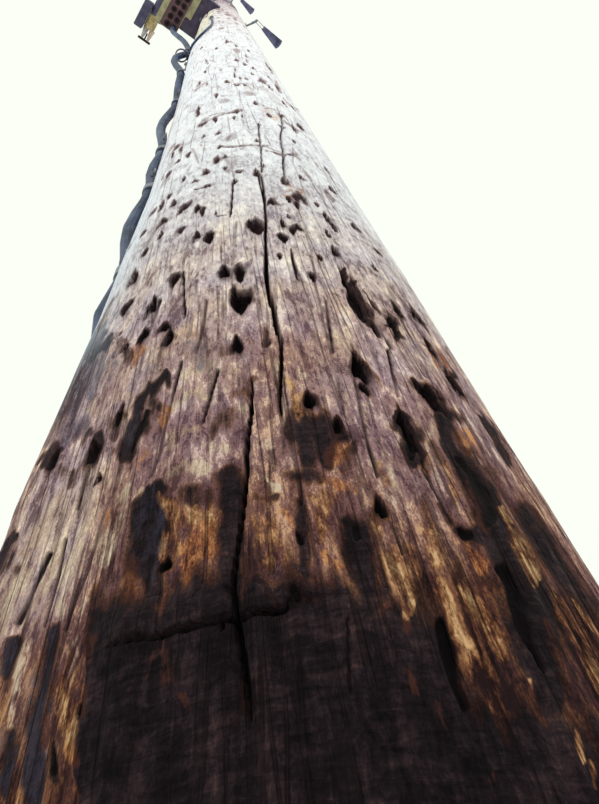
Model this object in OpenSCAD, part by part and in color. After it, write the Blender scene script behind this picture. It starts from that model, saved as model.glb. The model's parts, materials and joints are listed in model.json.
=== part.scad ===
// Wooden utility pole with its cable riser, terminal and line hardware.
// Millimetres, +Z up. The origin is the middle of the pole where it meets the ground.
// A place on the pole is given by its height and its azimuth:
// 0 faces -Y, 90 faces +X and -90 faces -X.

/* [Pole] */
// Height of the pole above the ground
pole_h = 8840; // [8400:10:10400]
// Diameter of the pole at the ground
ground_d = 320; // [290:1:360]
// Diameter of the pole at its top
top_d = 222; // [190:1:250]
// Height of the two roof slopes cut at the top
roof_h = 45; // [20:1:80]
// Chamfer round the foot, where the saw left the butt
foot_chamfer = 4; // [1:1:10]

/* [Checks in the wood] */
// Depth of the long drying checks
check_depth = 34; // [10:1:50]
// Width of the widest check at the surface
check_w = 9; // [4:0.5:14]
// Depth of the splintered gouge
gouge_depth = 9; // [4:1:16]

/* [Riser cable] */
// Diameter of the cable that climbs the pole
riser_d = 22; // [16:1:28]
// Clearance between the cable and what it touches
cable_fit = 0.3; // [0.2:0.05:0.5]
// Azimuth of the cable on the lower pole
riser_az = -90; // [-100:1:-80]
// Azimuth of the cable at the last clip below the terminal
riser_top_az = -68; // [-74:1:-62]

/* [Riser clips] */
// Height of a clip along the pole
clip_h = 22; // [14:1:30]
// Thickness of the clip's strap
clip_t = 3; // [2:0.5:5]
// Width of the clip over both feet
clip_w = 74; // [60:1:90]
// Diameter of the clip's screw heads
clip_screw_d = 10; // [7:1:12]

/* [Terminal] */
// Azimuth that the terminal and the strand hardware face
terminal_az = -50; // [-60:1:-40]
// Height of the terminal's underside
terminal_z = 5600; // [5200:10:6000]
// Width of the terminal
terminal_w = 276; // [270:1:320]
// Depth of the terminal's housing
housing_d = 99; // [94:1:112]
// Depth of the terminal's cover in front of the housing
cover_d = 26; // [16:1:34]
// Height of the terminal
terminal_h = 232; // [200:1:250]
// Distance of the housing's back from the pole's axis
terminal_back = 208; // [202:1:224]
// Wall of the housing and the cover
terminal_wall = 3; // [2:0.5:4]
// Radius of the terminal's upright edges
terminal_r = 10; // [4:1:14]

/* [Terminal ports] */
// Diameter of a port in the port plate
port_d = 25.5; // [20:0.5:28]
// Distance between neighbouring ports
port_pitch = 38; // [36:0.5:40]
// Distance between the two rows of ports
row_pitch = 36; // [34:0.5:38]
// Ports in one row along the terminal
port_count = 7; // [4:1:7]
// Thickness of the port plate
plate_t = 4; // [3:0.5:6]
// Height of the port plate above the terminal's rim
plate_inset = 6; // [3:1:12]
// Distance of the outer row of ports from the housing's front
port_front = 36; // [24:0.5:38]

/* [Terminal bracket] */
// Width of the bracket between the pole and the terminal
bracket_w = 204; // [160:1:220]
// Thickness of the bracket's sheet
bracket_t = 4; // [3:0.5:6]
// Depth of the rail between the bracket and the terminal
rail_d = 32; // [24:1:36]

/* [Strand hardware] */
// Height of the arm that holds the strand clamp
arm_z = 6020; // [5960:10:6300]
// Distance of the strand from the pole's axis
strand_off = 262; // [250:1:290]
// Diameter of the strand that the clamp takes
strand_d = 8; // [6:0.5:10]
// Length of the strand clamp
clamp_l = 150; // [140:1:180]
// Height of the clamp's plates
clamp_h = 48; // [44:1:60]
// Thickness of each clamp plate
clamp_t = 9; // [8:1:14]
// Diameter of the bolt through the pole
bolt_d = 16; // [12:1:20]

/* [Drop wire hardware] */
// Diameter of the drop hooks
hook_d = 10; // [8:1:12]
// Inner radius of the hook's curl
hook_r = 12; // [9:1:16]
// Reach of the hook's straight shank from the pole
hook_reach = 48; // [36:1:70]
// Length of a drop wire clamp
drop_l = 116; // [100:1:150]
// Width of a drop wire clamp at its wide end
drop_w = 52; // [36:1:60]

/* [Bond wire] */
// Diameter of the wire that runs round the wood below the terminal
bond_d = 8; // [5:0.5:10]

/* [Splice closure] */
// Diameter of the closure's body
closure_d = 62; // [50:1:66]
// Length of the closure's body
closure_l = 270; // [220:1:300]
// Distance of the closure's axis from the pole's axis
closure_off = 348; // [344:1:380]
// Length of the ribbed collar at the closure's end
collar_l = 76; // [60:1:90]
// Length of the cones behind the collar
cone_l = 60; // [45:1:70]
// Length of the box beside the closure
side_box_l = 146; // [130:1:200]
// Depth of the box beside the closure
side_box_d = 48; // [30:1:60]

/* [Hidden] */
$fn = 64;
ground_r = ground_d / 2;
top_r = top_d / 2;
taper = (ground_r - top_r) / pole_h;
riser_r = riser_d / 2;
// Gap between a piece and the wood that carries it
seat = 0.3;
// Overlap that makes a cut pass right through
eps = 1;

function pole_r(z) = ground_r - taper * z;

// Clips on the riser: height, azimuth and how far the cable bows out above it
clip_rows = [
    [450, riser_az - 1, 6],
    [1000, riser_az, 8],
    [1540, riser_az, 5],
    [1880, riser_az, 14],
    [2090, riser_az, 12],
    [2310, riser_az, 15],
    [2685, riser_az, 9],
    [2975, riser_az, 22],
    [3540, riser_az + 1, 2],
    [3860, riser_az + 16, 36],
    [4320, riser_top_az, 0]
];
CLIPS = [for (i = [1 : len(clip_rows)]) str("riser_clip_", i < 10 ? "0" : "", i)];

// Helpers

// Turns what faces -Y towards an azimuth
module facing(az) {
    rotate([0, 0, az]) children();
}

// The pole's own cone, grown by a gap, for cutting seats
module pole_room(gap) {
    cylinder(h = pole_h, r1 = ground_r + gap, r2 = top_r + gap, $fn = 256);
}

// Rectangle with round corners, centred
module round_rect(w, d, r) {
    union() {
        square([w - 2 * r, d], center = true);
        square([w, d - 2 * r], center = true);
        for (x = [-1, 1], y = [-1, 1]) {
            translate([x * (w / 2 - r), y * (d / 2 - r)]) circle(r = r);
        }
    }
}

// Hexagonal bolt head with a washer face, rising from z = 0
module bolt_head(d) {
    union() {
        cylinder(h = 0.7 * d, d = 1.8 * d, $fn = 6);
        cylinder(h = 0.12 * d, d = 2 * d);
    }
}

// Wood

// A check opens as a slim diamond in the surface
module check_cut(az, z0, z1, w) {
    z_mid = (z0 + z1) / 2;
    facing(az)
        translate([0, -pole_r(z_mid) + check_depth, 0])
        rotate([90, 0, 0])
        linear_extrude(height = check_depth + 4 * foot_chamfer)
        polygon([[0, z0], [w / 2, z_mid], [0, z1], [-w / 2, z_mid]]);
}

module roof_cut() {
    half = ground_r;
    rotate([90, 0, 45])
        linear_extrude(height = 2 * ground_r, center = true)
        polygon([
            [0, pole_h], [half, pole_h - roof_h * half / top_r], [half, pole_h + eps],
            [-half, pole_h + eps], [-half, pole_h - roof_h * half / top_r]
        ]);
}

// Round hole for the bolt of the strand arm
module arm_bolt_hole() {
    facing(terminal_az)
        translate([0, 0, arm_z])
        rotate([90, 0, 0])
        cylinder(h = 3 * ground_r, d = bolt_d + 2 * seat, center = true);
}

gouge_z = 1885;
gouge_az = 25;
gouge_l = 120;

module gouge_cut() {
    facing(gouge_az)
        translate([0, -pole_r(gouge_z) - 60 + gouge_depth, gouge_z])
        rotate([0, -8, 0])
        rotate_extrude()
        polygon([[0, -gouge_l / 2], [44, -gouge_l / 3], [60, 0], [40, gouge_l / 3], [0, gouge_l / 2]]);
}

module pole_shaft() {
    color([0.55, 0.47, 0.40])
    difference() {
        union() {
            cylinder(h = foot_chamfer, r1 = pole_r(0) - foot_chamfer, r2 = pole_r(foot_chamfer));
            translate([0, 0, foot_chamfer])
                cylinder(h = pole_h - foot_chamfer, r1 = pole_r(foot_chamfer), r2 = top_r);
        }
        roof_cut();
        check_cut(4, 1730, 2150, check_w);
        check_cut(-6, 1180, 1780, 0.6 * check_w);
        check_cut(19, 2110, 2520, 0.5 * check_w);
        check_cut(150, 900, 2300, check_w);
        check_cut(-140, 2600, 4200, 0.8 * check_w);
        check_cut(60, 3000, 4600, 0.7 * check_w);
        check_cut(110, 6500, 8100, 0.8 * check_w);
        gouge_cut();
        arm_bolt_hole();
    }
}

// Riser

// The cable ends in the first place of the terminal's inner row of ports
gland_x = port_x(0);
gland_y = port_y(0);
gland_az = terminal_az + atan(gland_x / gland_y);
gland_off = norm([gland_x, gland_y]);
gland_l = 34;
riser_end_z = terminal_z + plate_inset - seat;

// Stations of the route: height, azimuth, distance from the axis, bow above the station
riser_rows = concat(
    [[0, riser_az - 1, pole_r(0) + seat + riser_r, 3]],
    [for (c = clip_rows) [c[0], c[1], pole_r(c[0]) + seat + riser_r, c[2]]],
    [[riser_end_z - gland_l, gland_az, gland_off, 0], [riser_end_z, gland_az, gland_off, 0]]
);
ring_step = 62;
ring_sides = 12;

function ease(t) = (1 - cos(180 * t)) / 2;
function row_at(z, i = 0) =
    i >= len(riser_rows) - 2 || z < riser_rows[i + 1][0] ? i : row_at(z, i + 1);
function riser_polar(z) =
    let (
        i = row_at(z),
        a = riser_rows[i],
        b = riser_rows[i + 1],
        t = (z - a[0]) / (b[0] - a[0]),
        s = ease(t),
        bow = a[3] * ease(2 * t)
    )
    [a[1] + (b[1] - a[1]) * s, a[2] + (b[2] - a[2]) * s + bow];
function riser_point(z) =
    let (p = riser_polar(z))
    [p[1] * sin(p[0]), -p[1] * cos(p[0]), z];
function unit(v) = v / norm(v);

// Heights of the rings: even steps within each stretch between stations
riser_heights = concat(
    [for (i = [0 : len(riser_rows) - 2])
        let (
            z0 = riser_rows[i][0],
            z1 = riser_rows[i + 1][0],
            n = max(1, round((z1 - z0) / ring_step))
        )
        for (k = [0 : n - 1]) z0 + (z1 - z0) * k / n],
    [riser_end_z]
);
riser_last = len(riser_heights) - 1;

function riser_ring(k) =
    let (
        z = riser_heights[k],
        p = riser_point(z),
        flat_end = k == 0 || k == riser_last,
        dir = flat_end ? [0, 0, 1] : unit(riser_point(z + 4) - riser_point(z - 4)),
        side = unit(cross(dir, [p[1], -p[0], 0])),
        up = cross(dir, side)
    )
    [for (j = [0 : ring_sides - 1])
        let (a = 360 * (j + 0.5) / ring_sides)
        p + riser_r * (cos(a) * side + sin(a) * up)];

module sweep(rings) {
    n = len(rings);
    m = len(rings[0]);
    polyhedron(
        points = [for (ring = rings) each ring],
        faces = concat(
            [[for (j = [m - 1 : -1 : 0]) j]],
            [[for (j = [0 : m - 1]) (n - 1) * m + j]],
            [for (k = [0 : n - 2], j = [0 : m - 1])
                [k * m + j, k * m + (j + 1) % m, (k + 1) * m + (j + 1) % m, (k + 1) * m + j]]
        )
    );
}

module riser_cable() {
    color([0.20, 0.22, 0.26])
    sweep([for (k = [0 : riser_last]) riser_ring(k)]);
}

module riser_clip(i) {
    z = clip_rows[i][0];
    off = pole_r(z) + seat + riser_r;
    hollow_r = riser_r + cable_fit;
    foot_r = pole_r(z) + clip_t;
    color([0.55, 0.57, 0.60])
    facing(clip_rows[i][1])
    difference() {
        union() {
            translate([0, -off, z - clip_h / 2]) cylinder(h = clip_h, r = hollow_r + clip_t);
            translate([-hollow_r - clip_t, -off, z - clip_h / 2])
                cube([2 * (hollow_r + clip_t), riser_r, clip_h]);
            intersection() {
                translate([0, 0, z - clip_h / 2]) cylinder(h = clip_h, r = foot_r + seat, $fn = 256);
                translate([-clip_w / 2, -2 * ground_r, z - clip_h / 2])
                    cube([clip_w, 2 * ground_r, clip_h]);
            }
            for (x = [-1, 1]) {
                rotate([0, 0, x * asin((clip_w / 2 - 0.8 * clip_screw_d) / pole_r(z))])
                    translate([0, -foot_r - 2, z])
                    rotate([90, 0, 0])
                    translate([0, 0, -clip_t])
                    cylinder(h = 2 * clip_t, d = clip_screw_d);
            }
        }
        pole_room(seat);
        translate([0, -off, z - clip_h]) cylinder(h = 2 * clip_h, r = hollow_r);
        translate([-hollow_r, -off, z - clip_h]) cube([2 * hollow_r, off, 2 * clip_h]);
    }
}

// Arm with a ring that keeps the cable's top loop off the wood
standoff_z = 4205;
standoff_h = 16;
standoff_w = 20;
standoff_t = 4;
standoff_foot_h = 58;
standoff_foot_w = 44;

module riser_standoff() {
    z = standoff_z;
    p = riser_polar(z);
    ring_in = riser_r + 7;
    color([0.14, 0.13, 0.16])
    facing(p[0])
    difference() {
        union() {
            translate([0, -p[1], z - standoff_h / 2]) cylinder(h = standoff_h, r = ring_in + standoff_t);
            translate([-standoff_w / 2, -p[1], z - standoff_h / 2])
                cube([standoff_w, p[1] - pole_r(z) + 2 * standoff_t, standoff_h]);
            intersection() {
                translate([0, 0, z - standoff_foot_h / 2])
                    cylinder(h = standoff_foot_h, r = pole_r(z) + seat + standoff_t, $fn = 256);
                translate([-standoff_foot_w / 2, -2 * pole_r(z), z - standoff_foot_h / 2])
                    cube([standoff_foot_w, 2 * pole_r(z), standoff_foot_h]);
            }
        }
        pole_room(seat);
        translate([0, -p[1], z - standoff_h]) cylinder(h = 2 * standoff_h, r = ring_in);
    }
}

module riser_gland() {
    z0 = riser_end_z - gland_l;
    color([0.16, 0.16, 0.18])
    facing(gland_az)
    translate([0, -gland_off, z0])
    difference() {
        union() {
            cylinder(h = gland_l * 0.45, r1 = riser_r + 3, r2 = riser_r + 5);
            translate([0, 0, gland_l * 0.45])
                cylinder(h = gland_l * 0.55 - seat, r = riser_r + 6.5, $fn = 6);
        }
        translate([0, 0, -eps]) cylinder(h = gland_l + 2 * eps, r = riser_r + cable_fit);
    }
}

// Bond wire: it runs round the front of the wood from the standoff to an eye below the terminal

bond_r = bond_d / 2;
bond_gap = 0.8;
// Azimuth and height
bond_rows = [[-57, 4190], [-48, 4165], [-38, 4130], [-25, 4170], [-16, 4300], [-14, 4490], [-16, 4810]];
bond_steps = 5;
bond_sides = 8;

function through(a, b, c, d, t) =
    0.5 * (2 * b + (c - a) * t + (2 * a - 5 * b + 4 * c - d) * t * t + (3 * b - a - 3 * c + d) * t * t * t);
function bond_polar(u) =
    let (
        last = len(bond_rows) - 1,
        i = min(floor(u), last - 1)
    )
    through(bond_rows[max(i - 1, 0)], bond_rows[i], bond_rows[i + 1], bond_rows[min(i + 2, last)], u - i);
function bond_point(u) =
    let (p = bond_polar(u), r = pole_r(p[1]) + bond_gap + bond_r)
    [r * sin(p[0]), -r * cos(p[0]), p[1]];
function bond_ring(u) =
    let (
        p = bond_point(u),
        dir = unit(bond_point(u + 0.02) - bond_point(u - 0.02)),
        side = unit(cross(dir, [p[0], p[1], 0])),
        up = cross(dir, side)
    )
    [for (j = [0 : bond_sides - 1])
        let (a = 360 * j / bond_sides)
        p + bond_r * (cos(a) * side + sin(a) * up)];

module bond_wire() {
    last = len(bond_rows) - 1;
    color([0.10, 0.10, 0.12])
    sweep([for (k = [0 : last * bond_steps]) bond_ring(max(0.02, min(last - 0.02, k / bond_steps)))]);
}

// Lag screw with a washer beside the wire's end
module bond_eye() {
    row = bond_rows[len(bond_rows) - 1];
    eye_d = 9;
    r = pole_r(row[1] + 2 * eye_d);
    color([0.40, 0.40, 0.43])
    facing(row[0])
    translate([0, -r - seat - 0.5, row[1] + 2 * eye_d])
    rotate([90, 0, 0])
    union() {
        cylinder(h = 3, d = 2.4 * eye_d);
        cylinder(h = 9, d = 1.8 * eye_d, $fn = 6);
    }
}

// Terminal: its pieces stand in the frame that faces the terminal's azimuth

top_z = terminal_z + terminal_h;
front_y = terminal_back + housing_d;
plate_z = terminal_z + plate_inset;

// Sheet housing, open below
module terminal_housing() {
    inner_w = terminal_w - 2 * terminal_wall;
    inner_d = housing_d - 2 * terminal_wall;
    color([0.42, 0.42, 0.36])
    facing(terminal_az)
    translate([0, -terminal_back - housing_d / 2, terminal_z])
    difference() {
        linear_extrude(height = terminal_h) round_rect(terminal_w, housing_d, terminal_r);
        translate([0, 0, -eps])
            linear_extrude(height = terminal_h - terminal_wall + eps)
            round_rect(inner_w, inner_d, terminal_r - terminal_wall);
    }
}

// Front cover: a tray with bevelled upright edges, a hood lip over the housing's top and two pressed ribs
module terminal_cover() {
    hood = 26;
    rib_h = 2.5;
    bevel = cover_d / 3;
    half_w = terminal_w / 2;
    color([0.45, 0.45, 0.37])
    facing(terminal_az)
    difference() {
        union() {
            translate([0, -front_y - seat, terminal_z])
                linear_extrude(height = terminal_h + seat + terminal_wall)
                polygon([
                    [-half_w, 0], [-half_w, -cover_d + bevel], [-half_w + bevel, -cover_d],
                    [half_w - bevel, -cover_d], [half_w, -cover_d + bevel], [half_w, 0]
                ]);
            translate([-half_w, -front_y - seat - eps, top_z + seat])
                cube([terminal_w, hood, terminal_wall]);
            for (x = [-1, 1])
                translate([x * terminal_w / 4, -front_y - seat - cover_d, terminal_z + terminal_h / 2])
                    rotate([90, 0, 0])
                    translate([0, 0, -eps])
                    linear_extrude(height = rib_h + eps)
                    round_rect(terminal_w / 3, terminal_h * 0.75, terminal_r);
        }
        translate([-half_w + bevel, -front_y - seat - cover_d + terminal_wall, terminal_z + terminal_wall])
            cube([terminal_w - 2 * bevel, cover_d, terminal_h - 2 * terminal_wall]);
    }
}

// Draw latches at both ends, each over the joint between housing and cover
module terminal_latches() {
    latch_h = 54;
    latch_d = 34;
    latch_t = 5;
    color([0.60, 0.60, 0.62])
    facing(terminal_az)
    for (x = [-1, 1], z = [0.28, 0.74]) {
        x0 = x > 0 ? terminal_w / 2 + seat : -terminal_w / 2 - seat - latch_t;
        union() {
            translate([x0, -front_y - latch_d / 2, terminal_z + terminal_h * z - latch_h / 2])
                cube([latch_t, latch_d, latch_h]);
            translate([x > 0 ? x0 + latch_t : x0, -front_y, terminal_z + terminal_h * z])
                rotate([90, 0, 0])
                cylinder(h = latch_d / 2, d = 1.6 * latch_t, center = true);
        }
    }
}

function port_x(i) = (i - (port_count - 1) / 2) * port_pitch;
function port_y(row) = terminal_back + housing_d - port_front - (1 - row) * row_pitch;

module terminal_port_plate() {
    gap = terminal_wall + seat;
    color([0.26, 0.17, 0.16])
    facing(terminal_az)
    difference() {
        translate([0, -terminal_back - housing_d / 2, plate_z])
            linear_extrude(height = plate_t)
            round_rect(terminal_w - 2 * gap, housing_d - 2 * gap, terminal_r - terminal_wall);
        for (i = [0 : port_count - 1], row = [0, 1])
            if (i > 0 || row > 0)
                translate([port_x(i), -port_y(row), plate_z - eps])
                    cylinder(h = plate_t + 2 * eps, d = port_d);
    }
}

// Rubber plugs: a flange below the plate, a blind cup through it
module port_grommets() {
    flange_t = 2.2;
    flange_r = port_d / 2 + 2.5;
    cup_r = port_d / 2 - 4.5;
    cup_h = plate_t + 5;
    color([0.14, 0.09, 0.09])
    facing(terminal_az)
    for (i = [0 : port_count - 1], row = [0, 1])
        if (i > 0 || row > 0)
            translate([port_x(i), -port_y(row), plate_z])
            difference() {
                union() {
                    translate([0, 0, -seat - flange_t]) cylinder(h = flange_t, r = flange_r);
                    translate([0, 0, -seat - eps]) cylinder(h = cup_h, r = port_d / 2 - seat);
                }
                translate([0, 0, -seat - flange_t - eps])
                    cylinder(h = flange_t + cup_h - 2, r = cup_r);
            }
}

// Bracket: a sheet box whose open side follows the round of the pole, with a lip above and below
bracket_z0 = terminal_z + 8;
bracket_h = 0.75 * terminal_h;
bracket_y = terminal_back - rail_d - seat;
spacer_w = 66;
lip_h = 44;
lip_w = 60;
lag_d = 12;
lag_zs = [bracket_z0 - lip_h / 2, bracket_z0 + bracket_h + lip_h / 2];

module terminal_bracket() {
    half_w = bracket_w / 2;
    r = pole_r(bracket_z0) + seat + bracket_t;
    color([0.24, 0.22, 0.26])
    facing(terminal_az)
    difference() {
        union() {
            difference() {
                union() {
                    translate([-half_w, -bracket_y, bracket_z0]) cube([bracket_w, bracket_y, bracket_h]);
                    intersection() {
                        translate([0, 0, bracket_z0 - lip_h])
                            cylinder(h = bracket_h + 2 * lip_h, r = r, $fn = 256);
                        translate([-lip_w / 2, -bracket_y, bracket_z0 - lip_h])
                            cube([lip_w, bracket_y, bracket_h + 2 * lip_h]);
                    }
                }
                translate([-half_w + bracket_t, -bracket_y + bracket_t, bracket_z0 + bracket_t])
                    cube([bracket_w - 2 * bracket_t, bracket_y, bracket_h - 2 * bracket_t]);
            }
            translate([-half_w, -terminal_back + seat, bracket_z0])
                cube([spacer_w, rail_d + bracket_t, bracket_h]);
        }
        pole_room(seat);
        translate([-bracket_w, -0.45 * pole_r(terminal_z), bracket_z0 - lip_h - eps])
            cube([2 * bracket_w, ground_r, bracket_h + 2 * lip_h + 2 * eps]);
    }
}

// Lag screw heads on the bracket's lips
module bracket_lags() {
    color([0.50, 0.51, 0.53])
    facing(terminal_az)
    for (z = lag_zs)
        translate([0, -pole_r(bracket_z0) - seat - bracket_t - seat, z])
            rotate([90, 0, 0])
            bolt_head(lag_d);
}

// Moulded rail on the housing's back, where the terminal hangs on the bracket
module terminal_rail() {
    x0 = -bracket_w / 2 + spacer_w + seat;
    color([0.44, 0.44, 0.37])
    facing(terminal_az)
    translate([x0, -terminal_back + seat, terminal_z + 2])
    cube([terminal_w / 2 - terminal_r - x0, rail_d - 2 * seat, terminal_h * 0.85]);
}

// Strand arm and clamp

arm_plate_w = 70;
arm_plate_h = 190;
arm_plate_t = 6;
arm_web_gap = 44;
arm_web_t = 5;
plate_gap = 0.5;
inner_y = strand_off - plate_gap / 2 - clamp_t;
arm_tip_y = inner_y - seat;
arm_tip_t = 7;
arm_tip_h = 64;
strand_dz = 12;
clamp_bolt_dz = -9;
clamp_bolt_d = 12;
clamp_bolt_pitch = clamp_l / 3;

module strand_arm() {
    r = pole_r(arm_z) + seat;
    y_root = pole_r(arm_z) - 12;
    web = [
        [y_root, -0.42 * arm_plate_h], [arm_tip_y, -arm_tip_h / 2],
        [arm_tip_y, arm_tip_h / 2], [y_root, 0.42 * arm_plate_h]
    ];
    color([0.56, 0.58, 0.60])
    facing(terminal_az)
    difference() {
        union() {
            intersection() {
                translate([0, 0, arm_z - arm_plate_h / 2])
                    cylinder(h = arm_plate_h, r = r + arm_plate_t, $fn = 256);
                translate([-arm_plate_w / 2, -2 * r, arm_z - arm_plate_h / 2])
                    cube([arm_plate_w, 2 * r, arm_plate_h]);
            }
            for (x = [-1, 1])
                translate([x * (arm_web_gap + arm_web_t) / 2 - arm_web_t / 2, 0, arm_z])
                    rotate([90, 0, 90])
                    mirror([1, 0, 0])
                    linear_extrude(height = arm_web_t)
                    polygon(web);
            translate([-arm_web_gap / 2 - arm_web_t, -arm_tip_y, arm_z - arm_tip_h / 2])
                cube([arm_web_gap + 2 * arm_web_t, arm_tip_t, arm_tip_h]);
        }
        pole_room(seat);
        translate([-arm_plate_w, -0.45 * r, arm_z - arm_plate_h])
            cube([2 * arm_plate_w, r, 2 * arm_plate_h]);
        translate([0, 0, arm_z])
            rotate([90, 0, 0])
            cylinder(h = r + 2 * arm_plate_t, d = bolt_d + 2 * seat);
        translate([0, -arm_tip_y + 2 * arm_tip_t, arm_z + clamp_bolt_dz])
            rotate([90, 0, 0])
            cylinder(h = 4 * arm_tip_t, d = clamp_bolt_d + 2 * seat);
    }
}

nut_t = 0.8 * bolt_d;
washer_t = 6;
washer_w = 57;
bolt_tail = 42;

module strand_arm_bolt() {
    r = pole_r(arm_z);
    y_head = r + 2 * seat + arm_plate_t;
    color([0.50, 0.51, 0.53])
    facing(terminal_az)
    translate([0, -y_head, arm_z])
    rotate([-90, 0, 0])
    union() {
        rotate([180, 0, 0]) bolt_head(bolt_d);
        translate([0, 0, -eps])
            cylinder(h = y_head + eps + r + washer_t + nut_t + bolt_tail, d = bolt_d);
    }
}

// Curved washer and nut behind the pole
module strand_arm_nut() {
    r = pole_r(arm_z);
    color([0.50, 0.51, 0.53])
    facing(terminal_az)
    difference() {
        union() {
            translate([-washer_w / 2, r / 2, arm_z - washer_w / 2])
                cube([washer_w, r / 2 + washer_t, washer_w]);
            translate([0, r + washer_t - eps, arm_z])
                rotate([-90, 0, 0])
                cylinder(h = nut_t + eps, d = 1.8 * bolt_d, $fn = 6);
        }
        pole_room(seat);
        translate([0, 0, arm_z]) rotate([-90, 0, 0]) cylinder(h = 2 * r, d = bolt_d + 2 * seat);
    }
}

// One plate of the clamp; its upright face towards the strand lies at y = 0
module clamp_plate(side) {
    difference() {
        translate([0, side > 0 ? clamp_t : 0, 0])
            rotate([90, 0, 0])
            linear_extrude(height = clamp_t)
            round_rect(clamp_l, clamp_h, 8);
        translate([0, -side * plate_gap / 2, strand_dz])
            rotate([0, 90, 0])
            cylinder(h = clamp_l + 2 * eps, d = strand_d, center = true);
        for (i = [-1, 0, 1])
            translate([i * clamp_bolt_pitch, 0, clamp_bolt_dz])
                rotate([90, 0, 0])
                cylinder(h = 3 * clamp_t, d = clamp_bolt_d + 2 * seat, center = true);
    }
}

module strand_clamp_inner() {
    color([0.56, 0.58, 0.60])
    facing(terminal_az)
    translate([0, -strand_off + plate_gap / 2, arm_z])
    clamp_plate(1);
}

module strand_clamp_outer() {
    color([0.56, 0.58, 0.60])
    facing(terminal_az)
    translate([0, -strand_off - plate_gap / 2, arm_z])
    clamp_plate(-1);
}

module strand_clamp_bolts() {
    d = clamp_bolt_d;
    y_front = strand_off + plate_gap / 2 + clamp_t + seat;
    color([0.50, 0.51, 0.53])
    facing(terminal_az)
    for (i = [-1, 0, 1]) {
        back = i == 0 ? arm_tip_y - arm_tip_t - seat : inner_y - seat;
        translate([i * clamp_bolt_pitch, -y_front, arm_z + clamp_bolt_dz])
            rotate([-90, 0, 0])
            union() {
                rotate([180, 0, 0]) bolt_head(d);
                translate([0, 0, -eps]) cylinder(h = y_front - back + 1.3 * d, d = d);
                translate([0, 0, y_front - back]) cylinder(h = 0.8 * d, d = 1.8 * d, $fn = 6);
            }
    }
}

// Band of two halves high on the pole, drawn together by bolted ears
pole_band_z = 6800;
pole_band_h = 32;
pole_band_t = 4;
ear_l = 30;

module pole_band() {
    r = pole_r(pole_band_z - pole_band_h / 2) + seat;
    ear_gap = 5;
    color([0.50, 0.51, 0.53])
    facing(20)
    difference() {
        union() {
            translate([0, 0, pole_band_z - pole_band_h / 2])
                cylinder(h = pole_band_h, r = r + pole_band_t, $fn = 256);
            translate([-r - ear_l, -ear_gap / 2 - pole_band_t, pole_band_z - pole_band_h / 2])
                cube([2 * r + 2 * ear_l, 2 * pole_band_t + ear_gap, pole_band_h]);
            for (x = [-1, 1])
                translate([x * (r + 0.6 * ear_l), 0, pole_band_z])
                    rotate([90, 0, 0])
                    cylinder(h = ear_gap + 2 * pole_band_t + 24, d = 12, $fn = 6, center = true);
        }
        pole_room(seat);
        for (x = [-1, 1], y = [-1, 1])
            translate([x * (r + 0.6 * ear_l) + (x > 0 ? 6 : -6 - ear_l), -ear_gap / 2, 0])
                translate([0, 0, pole_band_z - pole_band_h])
                cube([ear_l, ear_gap, 2 * pole_band_h]);
    }
}

// Drop wire hooks, bails and clamps

// Azimuth in which the drop wires pull
drop_pull_az = 139;
bail_d = 3.2;
bail_leg = 46;
drop_t = 2.5;
drop_h = 16;
// Hooks: height and azimuth
hook_rows = [[5600, 75], [7550, 52]];

function hook_out(z) = pole_r(z) + hook_reach;

// Shank and curl of a hook, with the shoulder that stops it at the wood
module drop_hook(row) {
    z = row[0];
    curl_r = hook_r + hook_d / 2;
    shoulder_r = 14;
    color([0.42, 0.43, 0.46])
    facing(row[1])
    union() {
        difference() {
            translate([0, 0, z])
                rotate([90, 0, 0])
                cylinder(h = pole_r(z) + 6, r = shoulder_r);
            pole_room(seat);
            translate([-ground_r, -0.5 * pole_r(z), z - 2 * shoulder_r])
                cube([2 * ground_r, ground_r, 4 * shoulder_r]);
        }
        translate([0, -pole_r(z) - 4, z])
            rotate([90, 0, 0])
            cylinder(h = hook_reach - 4, d = hook_d);
        translate([0, -hook_out(z), z + curl_r])
            rotate([90, 0, -90])
            rotate([0, 0, -90])
            rotate_extrude(angle = 205)
            translate([curl_r, 0])
            circle(d = hook_d);
    }
}

// Moves to the outer side of a hook's curl and turns -Y to where the wire pulls
module at_pull(row) {
    z = row[0];
    curl_r = hook_r + hook_d / 2;
    out = hook_out(z) + curl_r;
    translate([out * sin(row[1]), -out * cos(row[1]), z + curl_r])
        rotate([0, 0, drop_pull_az])
        children();
}

bend_r = hook_d / 2 + bail_d / 2 + seat;

module drop_bail(row) {
    color([0.50, 0.51, 0.53])
    at_pull(row)
    union() {
        rotate_extrude(angle = 180) translate([bend_r, 0]) circle(d = bail_d);
        for (x = [-1, 1]) {
            translate([x * bend_r, 0, 0])
                rotate([90, 0, 0])
                cylinder(h = bail_leg + drop_t + 3, d = bail_d);
            translate([x * bend_r, -bail_leg - drop_t - seat, 0])
                rotate([90, 0, 0])
                cylinder(h = 3, d = bail_d + 3);
        }
    }
}

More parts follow.
